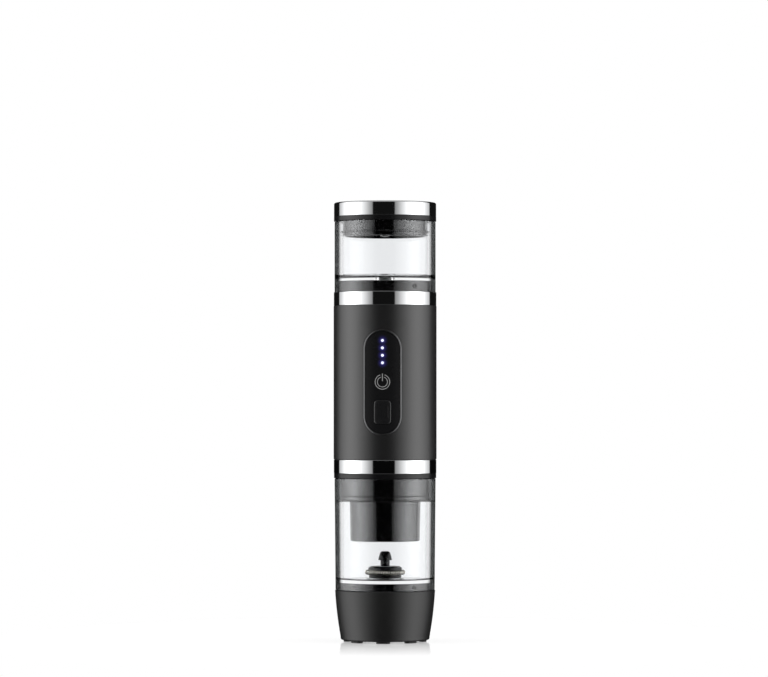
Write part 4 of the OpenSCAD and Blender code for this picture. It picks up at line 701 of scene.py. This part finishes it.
# The key's face dips inside a rim: (share of the way out, dip). Its edge is (step in, drop).
key_face = ((0, 0.22), (0.2, 0.22), (0.4, 0.21), (0.6, 0.20), (0.66, 0.19), (0.70, 0.14), (0.74, 0.04),
            (0.78, 0.0), (1, 0.0))
key_edge = ((0.2, 0.08), (0.04, 0.26), (0.0, 0.5))
KEY_FLANGE_REACH, KEY_FLANGE_R, KEY_BACK_R, KEY_STEM = KEY_REACH + 1.2, 30.75, 27.75, 2.5
key_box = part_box("power_button")
key_end_r = -key_box[1].y / MM
piece("power_key", [sleeve(
    [key_row(KEY_REACH - 0.5, KEY_R - dip, share) for share, dip in key_face]
    + [key_row(KEY_REACH - step, KEY_R - drop) for step, drop in key_edge]
    + [key_row(KEY_REACH, KEY_FLANGE_R), key_row(KEY_FLANGE_REACH, KEY_FLANGE_R),
       key_row(KEY_FLANGE_REACH, KEY_BACK_R), key_row(KEY_STEM, KEY_BACK_R, core=(0, 0)),
       key_row(KEY_STEM, key_end_r, core=(0, 0)), key_row(KEY_STEM, key_end_r, 0.0, (0, 0))])],
      "power_button", textured_key, "panel_gloss", "power_button")

PIPE_ROOT_R = 20.2
led_pipe = lathe([(0, PIPE_ROOT_R), (LED_R, PIPE_ROOT_R), (LED_R, PANEL_R + 0.04, 0.12), (0, PANEL_R + 0.06)],
                 loop=False, count=32)
piece("led_lenses", [repeated(led_pipe, spokes([270], LED_ZS))],
      "machine", light_pipe, "light_pipe", "led_light_pipes")

# The power mark: two broken rings and an upright bar
MARK_Z, MARK_RS, MARK_GAP, MARK_LINE = 176.1, (4.92, 3.36), math.radians(17), 0.5
BAR_LOW, BAR_TOP, BAR_LINE = 0.6, 5.6, 0.58
INK_RS = (PANEL_R - 0.05, PANEL_R + 0.02)
swing = np.linspace(math.pi / 2 + MARK_GAP, 2.5 * math.pi - MARK_GAP, 72)
rings = [np.stack([r * np.cos(swing), MARK_Z + r * np.sin(swing)], axis=1) for r in MARK_RS]
bar = np.stack([np.zeros(12), np.linspace(MARK_Z + BAR_LOW, MARK_Z + BAR_TOP, 12)], axis=1)
piece("power_mark", [printed_line(ring, MARK_LINE, *INK_RS) for ring in rings]
      + [printed_line(bar, BAR_LINE, *INK_RS)], "machine", grey_ink, "panel_gloss")


# Brew head and capsule holder

LUG_ANGLES, LUG_HALF, HOLDER_TURN, SLOT_HALF, SLOT_DEEP = (0, 120, 240), 13, 40, 15, 0.95
LUG_Z, LUG_TOP_Z, LUG_PROUD = 99.85, 102.25, 1.2
HEAD_FOOT_Z, NOTCH_Z, NOTCH, HEAD_ROOF_Z, HEAD_TOP_Z = 95.7, 98.95, 0.45, 106.75, 109.15
BORE_R, TRACK_R, TRACK_Z, TRACK_TOP_Z, NECK_IN_R, NEEDLE_R = 24.65, 25.65, 99.6, 102.5, 26.6, 2.0
head_side = rounded([
    (NEEDLE_R, HEAD_ROOF_Z), (BORE_R, HEAD_ROOF_Z), (BORE_R, TRACK_TOP_Z), (TRACK_R, TRACK_TOP_Z),
    (TRACK_R, TRACK_Z), (BORE_R, TRACK_Z), (BORE_R, HEAD_FOOT_Z + 0.2, 0.3), (HEAD_R, HEAD_FOOT_Z, 1.1),
    (HEAD_R, NOTCH_Z - NOTCH, 0.2), (HEAD_R - NOTCH, NOTCH_Z), (HEAD_R, NOTCH_Z + NOTCH, 0.2),
    (HEAD_R, LOWER_COLLAR_Z, 0.2), (NECK_R, LOWER_COLLAR_Z), (NECK_R, BODY_Z), (NECK_IN_R, BODY_Z),
    (NECK_IN_R, HEAD_TOP_Z), (NEEDLE_R, HEAD_TOP_Z)])
slot_middles = [a - HOLDER_TURN for a in LUG_ANGLES]
head_angles = around(edges=[a + s * SLOT_HALF for a in slot_middles for s in (-1, 1)])
slot_rows = (np.abs(head_side[:, 0] - BORE_R - 0.15) < 0.2) & (head_side[:, 1] < TRACK_Z + 0.1)
slots = SLOT_DEEP * (slot_rows[:, None] & within(head_angles, slot_middles, SLOT_HALF))
BOSS_Z, SPOUT_BOSS_R, SPOUT_HOLE_R = HEAD_TOP_Z - 0.15, 5.2, 3.3
SCREW_BOSS_R, SCREW_HOLE_R, SCREW_ORBIT, SCREW_TURNS = 3.25, 1.35, 20, (30, 150, 270)
screw_bosses = repeated(pipe(SCREW_BOSS_R, SCREW_HOLE_R, BOSS_Z, BODY_Z), stands(SCREW_ORBIT, SCREW_TURNS))
spout_boss = pipe(SPOUT_BOSS_R, SPOUT_HOLE_R, BOSS_Z, BODY_Z, 48)
piece("brew_block", [turned(head_side, head_angles, slots), screw_bosses, spout_boss],
      "machine", polished_abs, "moulded_black", "brew_head")

HOLDER_Z, HOLDER_RECESS_Z, HOLDER_FLOOR_Z, HOLDER_TOP_Z = 68.4, 70.8, 73.4, 104.5
NOZZLE_R, CHAMBER_R, CHAMBER_MOUTH_R, HOLDER_TAPER_Z = 5, 20.0, 20.55, 96.4
OUTLET_ORBIT, OUTLET_R, OUTLET_DEEP = 2.5, 0.9, 1.4
nozzle_rows = [(r, HOLDER_Z) for r in np.arange(0.2, 4.6, 0.2)]
holder_side = rounded([
    (0, HOLDER_Z), *nozzle_rows, (NOZZLE_R, HOLDER_Z, 0.2), (NOZZLE_R, HOLDER_RECESS_Z, 0.2),
    (CHAMBER_R, HOLDER_RECESS_Z, 0.4), (CHAMBER_R, HOLDER_Z, 0.3), (HOLDER_FOOT_R, HOLDER_Z, 0.8),
    (HOLDER_R, HOLDER_TAPER_Z), (HOLDER_R, LUG_Z - 0.02), (HOLDER_R, LUG_Z), (HOLDER_R, LUG_TOP_Z),
    (HOLDER_R, LUG_TOP_Z + 0.02), (HOLDER_R, HOLDER_TOP_Z, 0.3), (CHAMBER_MOUTH_R, HOLDER_TOP_Z, 0.3),
    (CHAMBER_R, HOLDER_FLOOR_Z, 0.6), (0, HOLDER_FLOOR_Z)], loop=False)
holder_angles = around(edges=[a + s * LUG_HALF for a in LUG_ANGLES for s in (-1, 1)])
r, z = holder_side[:, :1], holder_side[:, 1:]
lug_rows = (r > 24) & (z > LUG_Z - 0.01) & (z < LUG_TOP_Z + 0.01)
sixth = (np.radians(holder_angles) + math.pi / 6) % (math.pi / 3) - math.pi / 6
hole_away = np.hypot(r * np.cos(sixth) - OUTLET_ORBIT, r * np.sin(sixth))
nozzle_face = (z < HOLDER_Z + 0.1) & (r < NOZZLE_R - 0.2)
outlets = OUTLET_DEEP * np.clip((OUTLET_R - hole_away) / 0.12, 0, 1) * nozzle_face
lugs = LUG_PROUD * (lug_rows & within(holder_angles, LUG_ANGLES, LUG_HALF))
piece("pod_holder", [turned(holder_side, holder_angles, lugs, outlets, loop=False)],
      "holder", polished_abs, "moulded_black", "capsule_holder")


# Whisk

SEAT_R, SEAT_TOP_Z, SPINDLE_R, SPINDLE_TOP_Z = 12.75, 43.25, 2, 52.85
HUB_Z, HUB_R, HUB_BORE_R, HUB_BORE_Z, GROOVE_R, PLATE_R = 43.5, 11.0, 2.05, 52.9, 10.225, 11.45
GROOVE_HALF, KEEPER_PROUD, STEM_R, BELL_R, BELL_Z, BELL_TOP_Z = 1.875, 3.15, 3.1, 4.7, 55.4, 61.4
PLATE_EDGE_Z, PLATE_TOP_Z, CROWN_R, DISH_RIM_R, DISH_R, DISH_Z = 50.3, 51.25, 9.8, 8.6, 6.0, 50.7
GLINT_RING_R, GLINT_RING_IN_R = 4.9, 3.05
piece("whisk_seat", [lathe([
    (0, CUP_FLOOR_Z), (SEAT_R, CUP_FLOOR_Z, 0.1), (SEAT_R, SEAT_TOP_Z, 0.25), (SPINDLE_R, SEAT_TOP_Z, 0.2),
    (SPINDLE_R, SPINDLE_TOP_Z, 0.6), (0, SPINDLE_TOP_Z)], loop=False)],
      "cup", drawn_steel, "steel", "whisk_spindle")

hub_side = rounded([
    (0, HUB_BORE_Z), (HUB_BORE_R, HUB_BORE_Z), (HUB_BORE_R, HUB_Z, 0.2), (HUB_R, HUB_Z, 0.25),
    (HUB_R, RING_Z - GROOVE_HALF, 0.25), (GROOVE_R, RING_Z - GROOVE_HALF), (GROOVE_R, RING_Z + GROOVE_HALF),
    (PLATE_R, RING_Z + GROOVE_HALF, 0.15), (PLATE_R, PLATE_EDGE_Z, 0.8), (CROWN_R, PLATE_TOP_Z, 0.5),
    (DISH_RIM_R, PLATE_TOP_Z - 0.05, 0.4), (DISH_R, DISH_Z, 0.5), (STEM_R, DISH_Z, 0.1),
    (STEM_R + 0.1, BELL_Z), (BELL_R, BELL_Z, 0.12), (BELL_R - 0.5, BELL_Z + 2.4, 3),
    (STEM_R, BELL_TOP_Z, 2.0), (0, BELL_TOP_Z)], loop=False)
hub_angles = around(120, edges=[KEEPER_ANGLE - KEEPER_HALF, KEEPER_ANGLE + KEEPER_HALF])
keeper_rows = (np.abs(hub_side[:, :1] - GROOVE_R) < 0.01) & (np.abs(hub_side[:, 1:] - RING_Z) < 1.8)
keeper = KEEPER_PROUD * (keeper_rows & within(hub_angles, [KEEPER_ANGLE], KEEPER_HALF))
piece("whisk_body", [turned(hub_side, hub_angles, keeper, loop=False)],
      "whisk", satin_nylon, "moulded_black", "whisk_hub")
# A white ring in the hub's dish: a painted highlight, standing in for the glint at the stem's foot.
piece("whisk_glint_ring", [lathe([
    (GLINT_RING_IN_R, DISH_Z - 0.1), (GLINT_RING_R, DISH_Z - 0.1), (GLINT_RING_R, DISH_Z + 0.3, 0.15),
    (GLINT_RING_IN_R, DISH_Z + 0.55)], count=96)],
      "whisk", white_silicone, "silicone")

# The spring's curls ease in and out of straight ends, where the keeper holds them.
STEPS_PER_CURL = 16
u = np.linspace(0, 1, CURLS * STEPS_PER_CURL + 1)
lead = 2 * WIRE_R / (2 * math.pi * RING_R)
v = np.clip((u - lead) / (1 - 2 * lead), 0, 1)
eased = np.where(v < EASE, v * v / (2 * EASE), np.where(
    v > 1 - EASE, 1 - EASE - (1 - v) ** 2 / (2 * EASE), v - EASE / 2)) / (1 - EASE)
ring_turn = np.radians(KEEPER_ANGLE + KEEPER_HALF + u * (360 - 2 * KEEPER_HALF))
curl_turn = 2 * math.pi * CURLS * eased
ring_out = np.stack([np.cos(ring_turn), np.sin(ring_turn), 0 * u], axis=1)
curl_out = np.cos(curl_turn)[:, None] * ring_out + np.sin(curl_turn)[:, None] * np.array([0, 0, 1.0])
piece("whisk_coil", [tube(RING_R * ring_out + (0, 0, RING_Z) + CURL_R * curl_out, curl_out, WIRE_R, 8)],
      "whisk", spring_wire, "steel", "whisk_spring", sharp=60)


# Base

half_chord = 0.5 * np.array([BASE_EDGE_R - BASE_R, BASE_Z + BASE_EDGE - SHOULDER_Z])
half_length = np.hypot(*half_chord)
across = np.array([half_chord[1], -half_chord[0]])
arc_middle = (np.array([BASE_R, SHOULDER_Z]) + half_chord
              + math.sqrt(BASE_CURVE ** 2 - half_length ** 2) * across / half_length)
HOLLOW_R, HOLLOW_FLARE, SPIGOT_Z = 27.5, 2.4, 32.3


def base_side(z):
    """Radius of the base's outer side: the long arc from its shoulder to its lower edge."""
    return arc_middle[0] + np.sqrt(BASE_CURVE ** 2 - (z - arc_middle[1]) ** 2)


def base_hollow(z):
    """Radius inside the base: straight from the plate's ledge out to the collar's spigot, then upright."""
    return HOLLOW_R + HOLLOW_FLARE * np.clip((z - PLATE_Z) / (SPIGOT_Z - PLATE_Z), 0, 1)


LEDGE_R, EDGE_END_Z, KEY_BLOCK, KEY_HOLE_R = 28.5, 3.9, (9.0, 6.8), WHISK_KEY_R + RUN_GAP
key_hole_rim = [(KEY_HOLE_R + 0.4, 0.0), (KEY_HOLE_R + 0.15, 0.08), (KEY_HOLE_R, 0.4)]
base_levels = np.concatenate([
    [4.0, 5.2], np.linspace(6.2, 13.8, 10), [14.4], np.linspace(15.0, 28.6, 13),
    [30.0, 31.6, SHOULDER_Z - 1.15]])
base_top = rounded([(BASE_R, SHOULDER_Z - 1.2), (BASE_R, SHOULDER_Z, 0.9),
                    (HOLLOW_R + HOLLOW_FLARE, SHOULDER_Z)], loop=False)[1:]
base_foot = rounded([(LEDGE_R, PLATE_Z), (LEDGE_R, BASE_Z, 0.15), (BASE_EDGE_R, BASE_Z, BASE_EDGE),
                     (float(base_side(np.array(EDGE_END_Z))), EDGE_END_Z)], loop=False)
piece("base_shell", pierced_tube(
    base_side, base_hollow, base_levels, base_top, np.concatenate([[(HOLLOW_R, PLATE_Z)], base_foot]),
    [(1, WHISK_KEY_Z, (0, 0), KEY_BLOCK, key_hole_rim),
     (1, BASE_SLOT_Z, SLOT_CORE, SLOT_BLOCK, slot_rim)]), "base", base_lacquer, "satin_black", "base_housing")

DECK_Z, SPIGOT_R, SPIGOT_IN_R, BOSS_R, BOSS_ORBIT = 38.6, 29.8, 28.4, 2.8, 24.4
POST_R, POST_HOLE_R, POST_ORBIT, POST_Z, POST_TURNS = 2.6, 1.0, 17.0, 33.3, (90, 210, 330)
boss_turns = [270 + 45 * (k + 0.5) for k in (0, 2, 5, 7)]
piece("base_dock", [
    lathe([(0, DECK_Z), (SPIGOT_IN_R, DECK_Z), (SPIGOT_IN_R, SPIGOT_Z + 0.1), (SPIGOT_R, SPIGOT_Z + 0.1),
           (SPIGOT_R, SHOULDER_Z), (BASE_COLLAR_R, SHOULDER_Z, 0.15), (BASE_COLLAR_R, BASE_COLLAR_Z, 0.35),
           (0, BASE_COLLAR_Z)], loop=False),
    repeated(pipe(BOSS_R, SCREW_HOLE_R, PLATE_Z, DECK_Z + 0.1), stands(BOSS_ORBIT, boss_turns)),
    repeated(pipe(POST_R, POST_HOLE_R, POST_Z, DECK_Z + 0.1), stands(POST_ORBIT, POST_TURNS))],
      "base", collar_abs, "moulded_black", "base_collar")
piece("cup_pins", [lock_pins(BASE_COLLAR_R, CUP_PIN_Z)], "base", matt_acetal, "moulded_black")

FOOT_CORE, FOOT_ORBIT = (0.0, 2.2), 25.6
foot_ring = far_ring(48, 20.0)
foot_turns = [270 + 45 * k for k in range(8)]


def foot_hoop(reach, z, share=1.0):
    """One hoop of a foot pad: a stadium 5 by 9.4 drawn in to a reach, level at z."""
    x, y = outline(*foot_ring, FOOT_CORE, reach)
    return np.stack([share * x, share * y, np.full_like(x, z)], axis=-1)


pad_hoops = ((2.2, 0.0, 0), (2.2, 0.0, 0.5), (2.2, 0.0), (2.38, 0.05), (2.48, 0.22), (2.5, 0.45), (2.5, 2.3),
             (2.5, 2.3, 0.0))
pad = np.stack([foot_hoop(*hoop) for hoop in pad_hoops])
pad_faces = grid_faces(*pad.shape[:2], False, True).reshape(-1, 4)
piece("foot_pads", [repeated((pad.reshape(-1, 3), pad_faces), stands(FOOT_ORBIT, foot_turns, turning=True))],
      "base", dull_rubber, "gasket_rubber", "base_feet")

key_lo, key_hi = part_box("frother_button")
root_y, end_y = key_lo.y / MM, key_hi.y / MM
whisk_key = lathe([
    (0, root_y), (WHISK_KEY_R + 1, root_y, 0.2), (WHISK_KEY_R + 1, root_y + 1.2, 0.2),
    (WHISK_KEY_R, root_y + 1.2), (WHISK_KEY_R, end_y, 0.6), (3.4, end_y - 0.1), (0, end_y - 0.35)],
    loop=False, count=64)
piece("whisk_key", [repeated(whisk_key, spokes([90], [WHISK_KEY_Z]))],
      "whisk_button", moulded_abs, "moulded_black", "frother_button")


# Solids that stay as they are, each with its own finish

CARRIED = {
    drawn_steel: ("tank_filter", "piercing_needle", "deck_screws", "board_screws", "base_screws",
                  "bracket_screws", "charging_socket", "frother_socket", "motor_shaft"),
    white_silicone: ("port_seal",),
    dull_rubber: ("cup_gasket", "head_gasket"),
    filled_nylon: ("chassis", "battery_cap", "upper_deck", "pump_head", "magnet_carrier"),
    cell_sleeve: ("battery_cells",),
    zinc_can: ("pump_motor", "frother_motor", "motor_bracket"),
    waxy_tube: ("inlet_tube",),
    solder_mask: ("control_board", "charging_board", "frother_board"),
    acetal_grey: ("button_switch", "frother_switch", "indicator_leds"),
    nickel_plate: ("whisk_magnets", "drive_magnets", "frother_battery"),
    moulded_abs: ("base_plate",),
}
for finish, nodes in CARRIED.items():
    for name in nodes:
        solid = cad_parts[name]
        solid.data.materials.clear()
        solid.data.materials.append(finish)
        solid.data.shade_smooth()
        weld = solid.modifiers.new("weld", "WELD")
        weld.merge_threshold = 0.001 * MM
        split = solid.modifiers.new("edges", "EDGE_SPLIT")
        split.split_angle = math.radians(35)
        solid.modifiers.new("normals", "WEIGHTED_NORMAL")


# Studio: two tall side panels with dark gaps, a pale ceiling and a white sweep behind

def cosine(degrees):
    """Cosine of an angle in degrees."""
    return math.cos(math.radians(degrees))


def seen_through(tree):
    """1 for a ray that only clear walls have bent on its way from the camera, unreflected, else 0."""
    rays = add(tree, "LightPath").outputs
    bounced = calc(tree, "ADD", rays["Glossy Depth"], rays["Diffuse Depth"])
    return calc(tree, "MULTIPLY", rays["Is Transmission Ray"], calc(tree, "LESS_THAN", bounced, 0.5))


def build_studio():
    """World light by direction.

    The azimuth from the front, as a share of half a turn, gives the side panels' strength by a ramp, within a
    band of heights about the horizon. The ceiling is pale, and its mirror image under the floor dimmer. The
    sweep behind, worked out as the cosine from the camera's own line of sight, is white wherever the camera
    sees it. Through clear walls it is seen wider, and in front as well, so that they look as clear from the
    back.
    """
    PANEL_POWER, PANEL_TOP, CEILING, MIRRORED = 3.3, (32, 42), 0.6, 0.3
    SWEEP, CLEAR_SWEEP = (9, 6), (56, 48)
    levels = ((24, 0.0), (26, 0.14), (33, 0.23), (40, 0.35), (49, 0.50), (57, 0.70), (66, 0.92), (75, 1.0),
              (85, 1.0), (95, 0.76), (105, 0.50), (115, 0.34), (121, 0.28), (123.5, 0.0))
    world = bpy.data.worlds.new("studio")
    scene.world = world
    world.use_nodes = True
    tree = world.node_tree
    tree.nodes.clear()
    coord = add(tree, "TexCoord").outputs["Generated"]
    rays = add(tree, "LightPath").outputs
    way = add(tree, "SeparateXYZ", {0: coord}).outputs
    turn = calc(tree, "ARCTAN2", way["X"], calc(tree, "MULTIPLY", way["Y"], -1.0))
    ramp = add(tree, "ValToRGB", {"Fac": calc(tree, "DIVIDE", calc(tree, "ABSOLUTE", turn), math.pi)})
    stops = ramp.color_ramp.elements
    stops[1].color = (0, 0, 0, 1)
    for degrees, level in levels:
        stops.new(degrees / 180).color = (level, level, level, 1)
    height = calc(tree, "ABSOLUTE", way["Z"])
    low, high = (math.sin(math.radians(edge)) for edge in PANEL_TOP)
    panels = calc(tree, "MULTIPLY", ramp.outputs["Color"], mapped(tree, height, low, high, PANEL_POWER, 0.0))
    above = mapped(tree, way["Z"], -0.02, 0.02, MIRRORED)
    ceiling = calc(tree, "MULTIPLY", mapped(tree, height, 0.5, 0.7, 0.01, CEILING), above)
    line = {0: coord, 1: (-math.sin(CAMERA_TURN), math.cos(CAMERA_TURN), 0)}
    behind = add(tree, "VectorMath", line, operation="DOT_PRODUCT").outputs["Value"]
    narrow = mapped(tree, behind, *(cosine(edge) for edge in SWEEP))
    wide = mapped(tree, behind, *(cosine(edge) for edge in CLEAR_SWEEP))
    in_front = mapped(tree, behind, *(-cosine(edge) for edge in CLEAR_SWEEP))
    in_front = calc(tree, "MULTIPLY", in_front, seen_through(tree))
    bent = rays["Is Transmission Ray"]
    sweep = add(tree, "Mix", {"Factor": bent, "A": narrow, "B": wide}).outputs["Result"]
    pale = calc(tree, "MAXIMUM", calc(tree, "MAXIMUM", sweep, in_front), ceiling)
    total = calc(tree, "MAXIMUM", panels, pale)
    seen = add(tree, "Mix", {"Factor": rays["Is Camera Ray"], "A": total, "B": 1.0}).outputs["Result"]
    light = add(tree, "Background", {"Color": (1, 1, 1, 1), "Strength": seen})
    add(tree, "OutputWorld", {"Surface": light.outputs[0]})


build_studio()


def build_floor():
    """White sweep under the object: a disc that keeps the contact shadow, reflects softly at a flat glance,
    and fades out; from below it isn't there.

    The camera sees it lit through to white, also through clear walls; to scattered rays it is plain pale
    paper, and reflections go through it to the studio's mirror image below.
    """
    FADE_FROM, FADE_TO, GLOW, SHEEN_FROM, SHEEN_TO, SHEEN = 0.10, 0.30, 0.72, 0.03, 0.17, 0.5
    material, tree, shader, coord = begin("white_sweep")
    tree.nodes.remove(shader)
    rays = add(tree, "LightPath").outputs
    away = add(tree, "VectorMath", {0: coord}, operation="LENGTH").outputs["Value"]
    under = add(tree, "NewGeometry").outputs["Backfacing"]
    fade = calc(tree, "MAXIMUM", mapped(tree, away, FADE_FROM, FADE_TO, smooth=True), under)
    fade = calc(tree, "MAXIMUM", fade, rays["Is Glossy Ray"])
    seen = calc(tree, "MAXIMUM", rays["Is Camera Ray"], seen_through(tree))
    matt = add(tree, "BsdfDiffuse", {"Color": (0.5, 0.5, 0.5, 1)})
    lamp = add(tree, "Emission", {"Color": (1, 1, 1, 1), "Strength": calc(tree, "MULTIPLY", seen, GLOW)})
    paper = add(tree, "AddShader", {0: matt.outputs[0], 1: lamp.outputs[0]})
    sheen = add(tree, "BsdfGlossy", {"Color": (1, 1, 1, 1), "Roughness": 0.08})
    near = mapped(tree, away, SHEEN_FROM, SHEEN_TO, SHEEN, 0.0)
    gloss = calc(tree, "MULTIPLY", near, mapped(tree, facing(tree), 0.82, 0.93, smooth=True))
    coated = add(tree, "MixShader", {0: gloss, 1: paper.outputs[0], 2: sheen.outputs[0]})
    gone = add(tree, "BsdfTransparent")
    whole = add(tree, "MixShader", {0: fade, 1: coated.outputs[0], 2: gone.outputs[0]})
    tree.links.new(whole.outputs[0], tree.nodes["Material Output"].inputs["Surface"])
    t = np.radians(around(96))
    r = np.array([0.0, 0.05, FADE_FROM, 0.2, FADE_TO])[:, None]
    points = np.stack([r * np.cos(t), r * np.sin(t), 0 * r * t], axis=-1)
    mesh = bpy.data.meshes.new("floor")
    faces = grid_faces(*points.shape[:2], False, True).reshape(-1, 4)[:, ::-1]
    mesh.from_pydata(points.reshape(-1, 3), [], faces.tolist())
    mesh.materials.append(material)
    floor = bpy.data.objects.new("floor", mesh)
    scene.collection.objects.link(floor)


build_floor()
